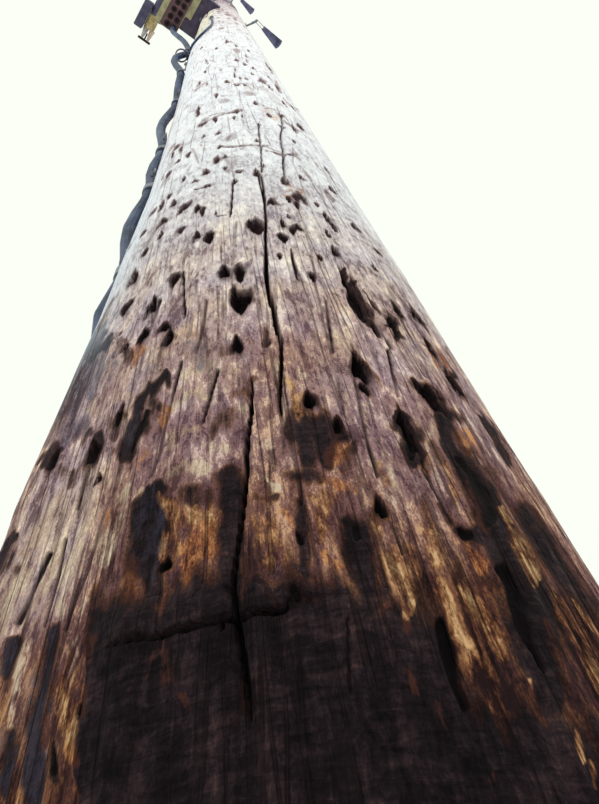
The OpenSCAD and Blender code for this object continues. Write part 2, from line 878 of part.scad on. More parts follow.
// Tapered channel that grips a drop wire, with an end wall for the bail
module drop_clamp(row) {
    w0 = 0.45 * drop_w;
    color([0.36, 0.36, 0.44])
    at_pull(row)
    translate([0, -bail_leg, 0])
    difference() {
        translate([0, 0, -drop_h / 2])
            linear_extrude(height = drop_h)
            polygon([
                [-w0 / 2, 0], [-drop_w / 2, -drop_l], [-drop_w / 6, -drop_l * 1.05],
                [drop_w / 6, -drop_l * 1.05], [drop_w / 2, -drop_l], [w0 / 2, 0]
            ]);
        translate([0, 0, -drop_h / 2 + drop_t])
            linear_extrude(height = drop_h)
            polygon([
                [-w0 / 2 + drop_t, -drop_t], [-drop_w / 2 + drop_t, -2 * drop_l],
                [drop_w / 2 - drop_t, -2 * drop_l], [w0 / 2 - drop_t, -drop_t]
            ]);
        for (x = [-1, 1])
            translate([x * bend_r, eps, 0])
                rotate([90, 0, 0])
                cylinder(h = drop_t + 2 * eps, d = bail_d + 2 * seat);
    }
}

// Splice closure beside the terminal, carried by the strand clamp

closure_z = arm_z - 62;
closure_x1 = 118;
closure_x0 = closure_x1 - closure_l;
closure_r = closure_d / 2;
collar_end = closure_x0 - collar_l - seat;

// Turns a solid that rises along Z to lie along the strand, towards its -X end
module along_strand(x) {
    facing(terminal_az)
        translate([x, -closure_off, closure_z])
        rotate([0, -90, 0])
        children();
}

module closure_body() {
    color([0.20, 0.18, 0.24])
    along_strand(closure_x1)
    union() {
        cylinder(h = 12, r1 = closure_r - 8, r2 = closure_r);
        translate([0, 0, 12]) cylinder(h = closure_l - 12, r = closure_r);
    }
}

module closure_collar() {
    ribs = 24;
    rib_d = 5;
    color([0.72, 0.66, 0.54])
    along_strand(closure_x0 - seat)
    union() {
        cylinder(h = collar_l, r = closure_r - rib_d / 2);
        for (i = [0 : ribs - 1])
            rotate([0, 0, 360 * i / ribs])
                translate([closure_r - rib_d / 2, 0, 0])
                cylinder(h = collar_l - 4, d = rib_d, $fn = 8);
    }
}

// Two stepped cones side by side, through which wires leave the closure
cone_big_d = 36;
cone_small_d = 33;
cone_tip_d = 13;
cone_big_y = -12;
cone_small_y = cone_big_y + (cone_big_d + cone_small_d) / 2 + 1;

module stepped_cone(base_d, y) {
    steps = 5;
    pitch = cone_l / steps;
    drop = (base_d - cone_tip_d) / 2 / steps;
    along_strand(collar_end - seat)
    translate([0, y, 0])
    union() {
        cylinder(h = cone_l, r1 = base_d / 2 - 1, r2 = cone_tip_d / 2);
        for (i = [0 : steps - 1])
            translate([0, 0, i * pitch])
                cylinder(h = pitch / 3, r = base_d / 2 - i * drop);
    }
}

module closure_cone() {
    color([0.62, 0.62, 0.62])
    stepped_cone(cone_big_d, cone_big_y);
}

module closure_cone_small() {
    color([0.70, 0.58, 0.50])
    stepped_cone(cone_small_d, cone_small_y);
}

// Crossbar over the tips of both cones, with a stem between them
module closure_tee() {
    bar_w = 74;
    bar_t = 12;
    stem_w = 8;
    stem_l = 34;
    mid = (cone_big_y + cone_small_y) / 2;
    color([0.12, 0.11, 0.13])
    along_strand(collar_end - cone_l - 2 * seat)
    translate([0, mid, 0])
    union() {
        translate([-bar_t / 2, -bar_w / 2, 0]) cube([bar_t, bar_w, bar_t]);
        translate([-bar_t / 2, -stem_w / 2, -stem_l]) cube([bar_t, stem_w, stem_l + bar_t / 2]);
    }
}

hanger_w = 22;
hanger_t = 3;

module closure_hanger() {
    x_foot = clamp_bolt_pitch / 2;
    y_plate = strand_off + plate_gap / 2 + clamp_t + seat;
    r = closure_r + seat;
    color([0.56, 0.58, 0.60])
    facing(terminal_az)
    difference() {
        union() {
            translate([x_foot - hanger_w / 2, -closure_off, closure_z])
                rotate([0, 90, 0])
                cylinder(h = hanger_w, r = r + hanger_t);
            translate([x_foot - hanger_w / 2, -y_plate - hanger_t, closure_z - r / 2])
                cube([hanger_w, hanger_t, arm_z - closure_z + r / 2 + clamp_h / 2]);
            translate([x_foot - hanger_w / 2, -closure_off, closure_z - hanger_t / 2])
                cube([hanger_w, closure_off - y_plate, hanger_t]);
            translate([x_foot - hanger_w / 2, -closure_off, closure_z + r - hanger_t])
                cube([hanger_w, closure_off - y_plate, hanger_t]);
        }
        translate([x_foot - hanger_w, -closure_off, closure_z])
            rotate([0, 90, 0])
            cylinder(h = 2 * hanger_w, r = r);
    }
}

// Box beside the closure, on a short bridge that fits the closure's round
side_box_h = 84;
side_box_reach = 98;
side_box_gap = 2;
bridge_h = 28;
bridge_l = 24;

module side_box() {
    x0 = closure_x0 - side_box_reach;
    y_back = closure_off + closure_r + side_box_gap;
    color([0.21, 0.18, 0.27])
    facing(terminal_az)
    difference() {
        union() {
            translate([x0 + side_box_l / 2, -y_back - side_box_d / 2, closure_z - side_box_h / 2])
                linear_extrude(height = side_box_h)
                round_rect(side_box_l, side_box_d, 6);
            translate([x0 + side_box_l - bridge_l - 8, -y_back - 4, closure_z - bridge_h / 2])
                cube([bridge_l, side_box_gap + closure_r / 2, bridge_h]);
        }
        translate([closure_x0 - side_box_l, -closure_off, closure_z])
            rotate([0, 90, 0])
            cylinder(h = 2 * side_box_l, r = closure_r + seat);
    }
}

pole_shaft();
riser_cable();
for (i = [0 : len(CLIPS) - 1]) riser_clip(i);
riser_standoff();
riser_gland();
bond_wire();
bond_eye();
terminal_bracket();
bracket_lags();
terminal_rail();
terminal_housing();
terminal_cover();
terminal_latches();
terminal_port_plate();
port_grommets();
strand_arm();
strand_arm_bolt();
strand_arm_nut();
strand_clamp_inner();
strand_clamp_outer();
strand_clamp_bolts();
pole_band();
drop_hook(hook_rows[0]);  // drop_hook_1
drop_hook(hook_rows[1]);  // drop_hook_2
drop_bail(hook_rows[0]);  // drop_bail_1
drop_bail(hook_rows[1]);  // drop_bail_2
drop_clamp(hook_rows[0]);  // drop_clamp_1
drop_clamp(hook_rows[1]);  // drop_clamp_2
closure_hanger();
closure_body();
closure_collar();
closure_cone();
closure_cone_small();
closure_tee();
side_box();
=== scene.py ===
import json
import math

import bpy
import numpy as np
from mathutils import Matrix, Vector


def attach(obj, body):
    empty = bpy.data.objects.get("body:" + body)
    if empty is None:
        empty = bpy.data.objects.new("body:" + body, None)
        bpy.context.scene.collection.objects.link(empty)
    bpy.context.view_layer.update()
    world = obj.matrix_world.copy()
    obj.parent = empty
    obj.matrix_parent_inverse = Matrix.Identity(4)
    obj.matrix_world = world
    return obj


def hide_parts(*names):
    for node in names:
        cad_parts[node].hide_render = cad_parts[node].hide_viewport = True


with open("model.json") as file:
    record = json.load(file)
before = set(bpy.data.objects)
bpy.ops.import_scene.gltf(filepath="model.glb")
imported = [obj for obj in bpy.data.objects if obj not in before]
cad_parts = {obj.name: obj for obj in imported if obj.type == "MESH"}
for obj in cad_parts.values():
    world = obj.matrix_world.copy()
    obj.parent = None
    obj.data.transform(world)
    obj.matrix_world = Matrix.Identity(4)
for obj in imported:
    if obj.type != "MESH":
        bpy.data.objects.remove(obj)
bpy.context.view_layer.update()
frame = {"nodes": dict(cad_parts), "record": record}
scene = bpy.context.scene

# The pole's own measures, in metres, as in the part's source
POLE_H = 8.84
GROUND_R = 0.16
TOP_R = 0.111
ROOF_H = 0.045
ROOF_TURN = math.radians(45)
TAPER = (GROUND_R - TOP_R) / POLE_H


def pole_r(z):
    return GROUND_R - TAPER * z


def roof_z(az, r):
    across = np.abs(r * np.sin(np.radians(az) - ROOF_TURN))
    return POLE_H - ROOF_H * across / TOP_R


# Camera: close in front of the wood, looking almost straight up. Lengths in its picture are in pixels.
FOCAL, WIDTH, HEIGHT = 677.0, 599.0, 804.0
EYE = (0.0, -0.313, 1.5)
# Where the picture would show the point straight above the eye, and the camera's turn in radians
ZENITH_X, ZENITH_Y, TURN = 213.8, -33.9, 0.0864
SENSOR_MM = 36.0


def make_camera():
    up_world = Vector((ZENITH_X - WIDTH / 2, HEIGHT / 2 - ZENITH_Y, FOCAL)).normalized()
    side = Vector((1, 0, 0))
    side = (side - up_world * side.dot(up_world)).normalized()
    ahead = side.cross(up_world)
    ahead = (math.cos(TURN) * ahead + math.sin(TURN) * side).normalized()
    right = up_world.cross(ahead)
    axes = Matrix((right, ahead, up_world)).transposed()
    data = bpy.data.cameras.new("view_camera")
    data.sensor_width = SENSOR_MM
    data.lens = FOCAL / HEIGHT * SENSOR_MM
    data.clip_start = 0.01
    cam = bpy.data.objects.new("view_camera", data)
    scene.collection.objects.link(cam)
    turned = Matrix((axes[0], axes[1], -axes[2])).transposed()
    cam.matrix_world = Matrix.Translation(EYE) @ turned.to_4x4()
    scene.camera = cam
    return axes


EYE_AXES = make_camera()

# Noise on numpy arrays, the same on every run

CELL_PRIMES = (374761393, 668265263, 2147483647)
SEED_PRIME = 974634777
STIRS = ((13, 1274126177), (16, 2246822519))
WORD, HALF_WORD = 0xFFFFFFFF, 0xFFFF
# The radius at which the grain is laid out, and where that starts in the noise
GRAIN_R = 0.15
GRAIN_START = (31, 57, 11)


def lattice(ix, iy, iz, seed):
    """A number from 0 to 1 for each whole cell."""
    h = (ix * CELL_PRIMES[0] + iy * CELL_PRIMES[1] + iz * CELL_PRIMES[2] + seed * SEED_PRIME) & WORD
    for shift, prime in STIRS:
        h = ((h ^ (h >> shift)) * prime) & WORD
    return ((h ^ (h >> 15)) & HALF_WORD) / HALF_WORD


def noise3(x, y, z, seed):
    fx, fy, fz = np.floor(x), np.floor(y), np.floor(z)
    ix, iy, iz = fx.astype(np.int64), fy.astype(np.int64), fz.astype(np.int64)
    tx, ty, tz = (t * t * (3 - 2 * t) for t in (x - fx, y - fy, z - fz))
    total = 0.0
    for dx, dy, dz in np.ndindex(2, 2, 2):
        w = (tx if dx else 1 - tx) * (ty if dy else 1 - ty) * (tz if dz else 1 - tz)
        total = total + w * lattice(ix + dx, iy + dy, iz + dz, seed)
    return total * 2 - 1


def grain(az, z, across, length, seed, octaves=3):
    """Noise on the round surface, with features of a size across and along the pole, in metres."""
    a = np.radians(az)
    x, y, up = GRAIN_START
    x, y, up = GRAIN_R * np.sin(a) / across + x, GRAIN_R * np.cos(a) / across + y, z / length + up
    total, gain, freq = 0.0, 0.5, 1.0
    for k in range(octaves):
        total = total + gain * noise3(x * freq, y * freq, up * freq, seed + 17 * k)
        gain *= 0.5
        freq *= 2.1
    return total


def smooth(edge0, edge1, x):
    t = np.clip((x - edge0) / (edge1 - edge0), 0, 1)
    return t * t * (3 - 2 * t)


def plateau(x, start, full, fall, end):
    """1 from full to fall, and 0 before the start and after the end."""
    return smooth(start, full, x) * smooth(end, fall, x)


# What the wood shows. Azimuths and half widths are in degrees, heights in metres.

# Spike holes, by depth in mm: azimuth, height, half width, and half height in mm, negative where the point
# is down
HOLES = {
    12: [(-3.7, 1.864, 2.5, -15), (2.7, 1.994, 2.5, -16)], 11: [(17.4, 1.786, 1.8, 14)],
    9: [(-38.5, 2.005, 2, 15), (-7.6, 1.916, 1.6, 13), (30.7, 1.852, 1.9, -13), (-8.7, 2.238, 1.6, 15),
    (15.5, 2.136, 1.5, 14)], 8: [(-20.5, 2.1, 1.8, -11), (-27, 1.912, 1.7, 12), (-3.2, 1.908, 1.6, -13),
    (8.8, 2.062, 1.5, 11), (43, 1.896, 2, 15), (6.3, 1.748, 1.4, 8), (41.4, 1.806, 1.6, 14),
    (31, 1.768, 2.8, -13), (-20, 2.56, 1.3, 24), (-17, 2.457, 2.4, -12), (-13.5, 2.196, 1.3, 10),
    (5.7, 2.158, 1.3, 12), (19.5, 2.48, 1.3, -14), (32.5, 2.455, 1.7, 20), (-1.5, 2.798, 1.5, 18)],
    7: [(-38, 1.944, 2.2, -9), (-35.5, 2.048, 1.6, 8), (-30, 2.1, 1.6, 10), (-15.8, 2.08, 1.4, 10),
    (-11.5, 1.99, 1.4, -12), (12.5, 1.988, 1.4, -11), (26.2, 2.045, 1.2, 14), (23.4, 1.958, 1.1, 11),
    (38, 2.06, 1.8, 10), (43, 2.015, 2, -8), (-20.5, 1.848, 1.5, 8), (-9.5, 2.463, 1.2, -17),
    (-31.5, 2.41, 2.3, 14), (-22.8, 2.311, 1.2, -10), (-23.2, 2.208, 0.9, 10), (-0.5, 2.166, 1.2, -6),
    (-26.5, 2.135, 1.3, 11), (39, 2.51, 2.6, 22), (-20.5, 2.6, 1.5, 24), (-9, 2.663, 1.2, -19),
    (4.8, 2.742, 2, -15)], 6: [(-15.5, 2.008, 1.2, 11), (-21.3, 1.932, 1.6, -9), (-22.5, 1.865, 1.6, 7),
    (9.3, 1.968, 1.3, -8), (14, 1.896, 1, -7), (18.5, 2.085, 2.3, 17), (35, 1.882, 1.3, 14),
    (-5.3, 1.813, 1, 9), (12.8, 1.679, 0.9, 6), (-36.5, 1.772, 1.7, 12), (22.3, 1.732, 1.1, 17),
    (0.3, 2.447, 0.8, -10), (2, 2.488, 1, -11), (-32.5, 2.275, 1.4, -12), (-7.5, 2.292, 0.9, 8),
    (9, 2.305, 1.1, 9), (-5.7, 2.188, 0.9, -7), (-17.8, 2.176, 1, 7), (-37, 2.163, 1.9, -8),
    (-12.7, 2.138, 1.2, -6), (22.8, 2.163, 1.1, 9), (-40, 2.117, 1.6, 8), (27.5, 2.345, 1, -10),
    (27.5, 2.52, 1.8, 24), (13.7, 2.57, 1.2, 15), (40.5, 2.27, 1.5, 15), (8.5, 2.825, 1, -15),
    (12.5, 2.83, 1, 20), (-15.5, 2.83, 1, 20), (-22.5, 2.9, 1.5, 30), (24.5, 2.85, 2.6, 32),
    (15, 3.05, 1.5, -24), (21.5, 3.03, 1.2, 24), (37, 2.86, 1.5, 45), (34.5, 2.67, 1.5, 24),
    (-8.5, 3.43, 1.5, 28), (25, 3.42, 1.2, 28), (12.5, 3.45, 1.5, -28), (3.5, 3.58, 2, 50),
    (-27, 3.65, 1.6, 40)], 5: [(-22.5, 2.095, 1, 8), (-14, 2.062, 1, -10), (-21.2, 2.036, 1.2, -8),
    (-33.5, 1.873, 1, 5), (-28, 1.873, 1.5, 9), (0.6, 2.008, 0.8, 7), (10.2, 2.004, 0.7, 11),
    (14.5, 1.997, 1, 8), (14.5, 2.07, 0.8, -8), (16.7, 2.056, 0.8, -10), (27.2, 2.018, 1, -10),
    (35.5, 1.955, 1, 6), (16.5, 1.762, 0.9, 5), (10.2, 1.73, 0.9, 6), (-30, 1.79, 1.4, 8),
    (-47.5, 1.792, 1.6, 10), (-33, 2.372, 0.9, -18), (-28, 2.365, 0.8, -17), (-15.5, 2.38, 0.8, 11),
    (-8, 2.37, 1.2, 10), (-28, 2.31, 1.4, 8), (-36.5, 2.295, 0.8, 12), (-5.6, 2.238, 0.8, 10),
    (8.7, 2.187, 0.9, 8), (-32.5, 2.165, 1.2, 14), (-29, 2.17, 1, -10), (-2.7, 2.136, 0.9, 7),
    (12, 2.405, 0.8, 10), (10, 2.745, 1, 15), (29, 2.8, 1.2, 38), (-5, 2.97, 1, 15), (-18.5, 3.03, 1, -20),
    (8.5, 3.12, 1.8, 28), (18.5, 2.92, 1, 20), (33.5, 2.975, 1.2, 24), (43, 2.7, 1.2, 22),
    (43, 3.28, 2.5, 90)], 4: [(-29.5, 2.062, 0.9, 8), (-32, 2.088, 0.9, -6), (12.6, 2.022, 0.6, 6),
    (24.5, 2.076, 0.9, -5), (23.7, 2, 0.6, 8), (18, 1.934, 0.8, -5), (-32.3, 1.743, 0.7, 4),
    (40.2, 1.845, 1.3, 13), (-16.3, 1.668, 0.8, 3), (4.5, 2.46, 0.5, 15), (24.5, 2.42, 2.4, -8),
    (36, 2.17, 1.3, 12)], 3: [(-9.5, 2.048, 0.5, 6), (7.2, 1.932, 0.6, -5)],
}

# Long checks: width and depth in mm, then azimuths and heights of points from the top down
CHECKS = [
    (1.9, 18, 6.2, 2.15, 6.4, 2.12, 6.5, 2.07, 5.8, 2.02, 4.6, 1.98, 3.8, 1.94, 3, 1.91, 2.8, 1.88, 3.3,
     1.85, 3, 1.83, 3.6, 1.81, 3, 1.79, 2.2, 1.77, 1.5, 1.75, 1.4, 1.735),
    (1.5, 6, -2.8, 1.775, -3.5, 1.745, -4.5, 1.725, -5, 1.7, -5.8, 1.68, -7, 1.66, -7.3, 1.65, -6.8, 1.63,
     -6.2, 1.615, -5.7, 1.6),
    (2, 16, 27.5, 2.62, 27, 2.5, 25.5, 2.44, 21.6, 2.36, 20.1, 2.3, 19.5, 2.26, 18, 2.22, 16.8, 2.18, 16.2,
     2.15, 16, 2.12), (1.2, 8, 13, 2.43, 11.2, 2.37, 10, 2.27, 8.6, 2.2, 7.5, 2.15, 7, 2.07),
    (1.8, 4, -3.2, 2.14, -4.5, 2.06, -5.1, 2.03), (2.2, 8, 5.9, 2.99, 5.4, 2.92, 5, 2.84),
    (2, 8, 20, 3.3, 18.8, 3.18, 18.3, 3.1), (2.2, 8, -20.5, 3.3, -18.6, 3.24, -16.5, 3.14),
    (1.4, 3, -19, 1.95, -18, 1.9, -17, 1.865), (1.4, 3, 10.8, 1.95, 10.4, 1.92, 10.2, 1.89),
    (6, 24, 150, 2.3, 151, 1.9, 149, 1.4, 150, 0.9), (5, 22, -140, 4.2, -141, 3.5, -139, 2.6),
    (4, 20, 60, 4.6, 61, 3.9, 60, 3), (5, 20, 110, 8.1, 111, 7.4, 110, 6.5),
    (3, 14, -100, 1.3, -99, 0.9, -101, 0.3), (4, 16, 20, 1.45, 22, 1, 19, 0.45),
    (3.5, 14, -35, 1.2, -33, 0.7, -34, 0.1), (3, 12, 85, 2.2, 86, 1.7, 84, 1.1),
    (4, 14, -170, 6.4, -168, 5.6, -171, 4.8), (4, 14, 30, 7.9, 28, 7.2, 29, 6.3),
    (3, 12, -30, 6.5, -29, 5.9, -31, 5.2),
]

# Cracks across the grain: their height and depth in mm, then azimuths and heights from left to right
CROSS_CRACKS = [
    (5, 3, -8, 2.291, -3, 2.28, 0, 2.277, 6.5, 2.281, 12, 2.276, 15, 2.262, 19, 2.262, 22, 2.254, 25, 2.256,
     26.5, 2.272), (7, 3, -14, 2.512, -6, 2.502, -3, 2.49, 2, 2.486, 4, 2.502, 7, 2.512),
    (3, 2, -9.5, 2.041, -6, 2.038), (5, 2, -18, 2.147, -11, 2.136),
]

# Torn gouge: azimuth and height of each trough, half width, half height in mm, depth in mm
GOUGE = [
    (23, 1.9, 0.9, 28, 12), (25.2, 1.905, 0.6, 14, 7), (24.2, 1.868, 1.5, 20, 12),
    (21.6, 1.866, 0.5, 14, 6), (27.4, 1.876, 0.7, 16, 7), (25.6, 1.838, 1.4, 16, 10),
    (27, 1.82, 0.7, 12, 5),
]

# Marks on the side that the camera sees, by strength. Each row is x, y and half width of points along a
# stroke, in pixels of the camera's picture.

# Blackened
DARKS = {
    1: [(166, 382, 4, 158, 386, 4, 148, 402, 8, 140, 418, 8, 130, 442, 9, 122, 454, 6),
    (232, 472, 6, 229, 482, 10, 232, 500, 12, 230, 530, 12, 229, 560, 12, 228, 590, 13),
    (308, 396, 4, 310, 404, 8), (302, 424, 11, 302, 440, 12, 305, 458, 10),
    (320, 424, 10, 321, 440, 12, 322, 454, 9), (400, 412, 3, 404, 424, 7, 411, 440, 7, 416, 458, 4),
    (418, 380, 4, 428, 391, 6, 440, 402, 7, 449, 414, 7),
    (440, 418, 4, 452, 442, 8, 460, 458, 10, 472, 482, 12, 484, 510, 13, 496, 534, 14, 512, 560, 16, 527,
     600, 18, 540, 650, 18, 552, 700, 12),
    (347, 519, 4, 357, 532, 12, 360, 550, 14, 364, 580, 13, 368, 615, 12), (463, 533, 5, 474, 537, 6),
    (55, 742, 4, 56, 775, 6), (352, 282, 5, 358, 300, 8, 365, 316, 7, 372, 328, 4)],
    0.95: [(151, 492, 3, 147, 506, 10, 149, 524, 13, 146, 545, 14, 142, 562, 14),
    (293, 594, 6, 299, 596, 6)], 0.9: [(300, 506, 4, 306, 530, 8, 308, 550, 8, 306, 575, 8),
    (335, 422, 5, 342, 434, 6), (452, 380, 3, 458, 390, 3),
    (56, 632, 6, 50, 658, 11, 46, 690, 10, 34, 722, 8, 30, 755, 9, 32, 804, 11),
    (93, 618, 5, 105, 624, 9, 118, 624, 8), (226, 590, 6, 228, 598, 6), (342, 266, 2, 345, 284, 4)],
    0.85: [(96, 434, 5, 94, 448, 8, 92, 458, 6), (143, 560, 10, 148, 580, 9, 150, 595, 8)],
    0.8: [(114, 339, 5, 106, 348, 6, 98, 353, 5), (166, 488, 4, 158, 497, 7),
    (480, 418, 4, 498, 442, 6, 508, 462, 5), (522, 510, 7, 548, 550, 13, 566, 580, 10, 590, 615, 8),
    (24, 642, 4, 12, 680, 5), (15, 736, 6, 8, 792, 7), (386, 320, 3, 394, 330, 4, 402, 341, 3)],
    0.75: [(292, 472, 8, 306, 476, 10), (36, 545, 3, 26, 568, 5, 12, 592, 5, 2, 606, 5)],
    0.7: [(70, 450, 3, 66, 464, 5, 61, 472, 3), (378, 560, 4, 384, 610, 6)],
    0.65: [(126, 406, 5, 118, 420, 7, 112, 430, 6)], 0.6: [(250, 560, 4, 246, 600, 8),
    (420, 600, 8, 434, 630, 10), (456, 570, 4, 462, 590, 5), (366, 288, 2, 376, 308, 3)],
    0.5: [(127, 344, 3, 124, 352, 4), (188, 494, 8, 206, 498, 9), (358, 434, 5, 350, 450, 5, 352, 458, 5),
    (128, 548, 4, 130, 565, 5), (318, 600, 10, 345, 605, 10), (262, 330, 3, 268, 340, 3)],
    0.45: [(79, 478, 7, 77, 486, 6), (256, 498, 4, 280, 500, 5), (430, 444, 5, 436, 456, 6, 441, 465, 5)],
    0.4: [(488, 474, 6, 504, 498, 6), (440, 506, 4, 452, 524, 5), (252, 386, 5, 246, 398, 5),
    (224, 418, 6, 216, 430, 6)], 0.25: [(222, 352, 5, 234, 350, 5)],
}
# Red-brown
RUSTS = {
    1: [(203, 532, 10, 202, 556, 12)], 0.9: [(132, 560, 5, 126, 580, 6, 124, 602, 6),
    (196, 548, 11, 189, 576, 9), (326, 554, 6, 338, 568, 8), (470, 546, 5, 482, 564, 6)],
    0.8: [(292, 570, 4, 293, 584, 5), (139, 344, 6, 137, 355, 6), (428, 346, 2, 440, 362, 3, 452, 380, 4),
    (466, 488, 4, 478, 512, 6, 486, 532, 6)], 0.75: [(328, 452, 8, 344, 446, 8, 347, 462, 7)],
    0.7: [(94, 640, 5, 90, 656, 5), (76, 748, 8, 82, 760, 5)], 0.6: [(420, 456, 4, 426, 470, 4),
    (84, 685, 4, 86, 712, 4), (184, 700, 5, 188, 708, 5), (286, 184, 3, 302, 197, 4),
    (166, 404, 4, 160, 424, 5), (290, 520, 6, 296, 532, 5), (206, 584, 6, 214, 596, 6)],
    0.5: [(322, 478, 6, 346, 486, 7), (190, 335, 6, 196, 340, 5), (458, 428, 5, 474, 450, 6),
    (264, 111, 3, 280, 119, 3), (146, 450, 5, 136, 466, 6), (374, 556, 5, 378, 590, 5),
    (440, 600, 5, 452, 640, 5), (520, 500, 4, 540, 530, 5), (400, 626, 6, 404, 640, 6),
    (112, 500, 4, 106, 520, 4)], 0.45: [(150, 655, 10, 170, 680, 10), (300, 206, 3, 306, 214, 3),
    (402, 676, 4, 414, 700, 4)], 0.4: [(374, 652, 4, 370, 684, 4), (438, 706, 4, 446, 730, 4),
    (488, 770, 3, 494, 790, 3), (300, 412, 9, 322, 414, 8), (268, 520, 8, 270, 540, 8)],
    0.3: [(283, 657, 8, 290, 662, 8), (232, 690, 5, 236, 700, 5)], 0.25: [(310, 720, 6, 312, 730, 6)],
}
# Worn to golden wood
GOLDS = {
    0.95: [(312, 500, 5, 326, 504, 8, 322, 520, 7, 322, 538, 5)],
    0.9: [(395, 562, 8, 402, 585, 9, 406, 607, 7, 403, 624, 5), (413, 556, 4, 422, 580, 5),
    (466, 598, 4, 481, 620, 7, 494, 640, 7, 502, 664, 5),
    (556, 600, 4, 568, 612, 7, 582, 632, 8, 592, 656, 8, 600, 695, 7), (62, 688, 9, 67, 712, 9, 72, 735, 8)],
    0.85: [(167, 505, 5, 177, 515, 7), (424, 505, 4, 430, 525, 5, 437, 545, 5, 442, 572, 5),
    (444, 590, 3, 452, 613, 5, 464, 638, 7, 478, 662, 9, 490, 684, 8, 496, 706, 5)],
    0.8: [(171, 538, 6, 168, 552, 7), (195, 516, 7, 211, 520, 7), (371, 514, 3, 378, 530, 4),
    (508, 538, 4, 520, 555, 5, 532, 573, 5), (519, 546, 4, 528, 561, 5)],
    0.7: [(6, 665, 4, 3, 700, 5, 8, 728, 4), (74, 664, 6, 70, 684, 6)], 0.6: [(256, 525, 4, 258, 550, 5),
    (272, 528, 5, 280, 552, 6), (500, 514, 3, 508, 530, 4), (18, 686, 4, 16, 700, 3),
    (18, 788, 5, 14, 804, 5), (16, 700, 3, 12, 724, 4)], 0.5: [(262, 568, 5, 286, 560, 6),
    (380, 470, 3, 384, 490, 3)], 0.45: [(574, 736, 2, 580, 762, 2), (292, 384, 8, 304, 416, 6),
    (444, 470, 4, 456, 500, 4)], 0.4: [(525, 680, 2, 531, 706, 2), (588, 764, 2, 594, 790, 2),
    (236, 398, 4, 242, 404, 4)],
}
# Bleached; the first group also holds a painted highlight and a pale strip beside the bond wire
PALES = {
    # The first stroke here is a painted highlight, a tiny glint; the second is a pale strip beside the bond
    # wire
    1: [(252, 639, 1.2, 253, 640, 1.2), (211, 13, 2.5, 204, 25, 3.5, 195, 38, 2.5)],
    0.95: [(168, 447, 4, 173, 435, 7, 184, 427, 6, 199, 428, 5)],
    0.9: [(163, 483, 3, 172, 471, 5, 186, 465, 6, 203, 468, 6), (431, 427, 4, 426, 440, 4, 424, 451, 4),
    (40, 572, 6, 24, 603, 8, 14, 635, 7)], 0.85: [(86, 545, 8, 73, 580, 8, 60, 613, 8),
    (63, 548, 7, 49, 585, 8, 38, 613, 7)], 0.8: [(174, 403, 4, 184, 393, 6, 198, 391, 6, 208, 400, 4),
    (120, 511, 10, 109, 535, 11, 100, 556, 11), (253, 445, 4, 270, 448, 6),
    (254, 471, 3, 266, 482, 4, 281, 491, 5), (213, 345, 2, 211, 349, 2),
    (96, 500, 5, 70, 560, 6, 50, 610, 5), (78, 650, 4, 70, 684, 5)],
    0.75: [(108, 502, 8, 128, 492, 8, 143, 491, 5)], 0.7: [(240, 411, 3, 252, 408, 4),
    (366, 408, 3, 368, 430, 3), (46, 612, 6, 30, 648, 6), (64, 500, 8, 52, 530, 8),
    (34, 618, 4, 20, 690, 4, 10, 750, 3), (58, 520, 5, 40, 560, 5)],
    0.6: [(186, 375, 4, 198, 367, 5, 213, 361, 4), (206, 443, 4, 225, 449, 5), (98, 397, 4, 96, 412, 5),
    (342, 396, 4, 350, 420, 5), (276, 360, 4, 277, 372, 4), (470, 408, 4, 488, 436, 4),
    (130, 392, 6, 120, 400, 6), (76, 560, 5, 58, 628, 5), (12, 560, 5, 2, 590, 5),
    (120, 470, 5, 104, 500, 6)], 0.5: [(80, 458, 5, 92, 488, 7), (396, 446, 3, 397, 454, 3),
    (290, 382, 5, 312, 376, 6), (384, 440, 6, 392, 500, 6), (408, 380, 5, 420, 410, 5),
    (430, 414, 4, 440, 440, 4), (150, 362, 6, 168, 356, 6), (88, 602, 5, 76, 622, 5),
    (78, 640, 5, 72, 655, 5)], 0.45: [(340, 340, 10, 344, 360, 8)], 0.4: [(232, 372, 6, 228, 388, 6)],
    0.35: [(396, 330, 8, 416, 358, 8)],
}
# Bluish painted shade, most of it near the pole's left edge
COOL_SHADES = {
    1: [(108, 342, 9, 94, 364, 16, 80, 388, 18, 66, 414, 15)],
    0.8: [(54, 634, 7, 48, 662, 11, 44, 692, 10, 34, 724, 9, 30, 760, 10, 32, 804, 11),
    (33, 549, 4, 22, 574, 6, 6, 604, 7)], 0.7: [(82, 426, 10, 64, 442, 10)], 0.6: [(22, 646, 4, 12, 680, 5),
    (12, 736, 6, 8, 792, 7)], 0.5: [(150, 496, 6, 150, 520, 10, 146, 548, 10, 140, 570, 8),
    (96, 434, 5, 93, 452, 7), (128, 442, 8, 142, 408, 6)], 0.4: [(188, 354, 9, 206, 358, 8),
    (2, 580, 9, 0, 600, 8)], 0.35: [(322, 384, 8, 344, 392, 8), (430, 462, 5, 440, 480, 5),
    (240, 352, 8, 256, 346, 6)],
}
# Deep places, by twice their depth in mm
CAVES = {
    6: [(498, 566, 5, 510, 584, 6, 524, 618, 7, 536, 648, 5, 545, 676, 2),
    (350, 290, 3, 357, 306, 5, 366, 324, 4)], 5: [(461, 526, 2, 467, 535, 5),
    (401, 418, 3, 408, 436, 5, 413, 450, 3), (430, 392, 4, 441, 404, 5, 447, 412, 4),
    (341, 270, 2, 345, 286, 3)], 4: [(439, 630, 4, 446, 652, 6, 456, 676, 5, 466, 708, 3),
    (301, 534, 3, 303, 542, 4), (308, 398, 3, 310, 405, 6), (295, 593, 4, 300, 595, 4),
    (388, 322, 2, 400, 339, 2)], 3: [(83, 704, 2, 82, 714, 2), (335, 424, 2, 338, 430, 4),
    (55, 750, 2, 56, 772, 4), (226, 592, 3, 228, 597, 3), (460, 456, 4, 476, 492, 6, 490, 524, 6),
    (94, 446, 4, 93, 454, 4), (356, 524, 3, 358, 534, 3)], 2: [(150, 414, 2, 138, 430, 3, 128, 448, 2)],
}
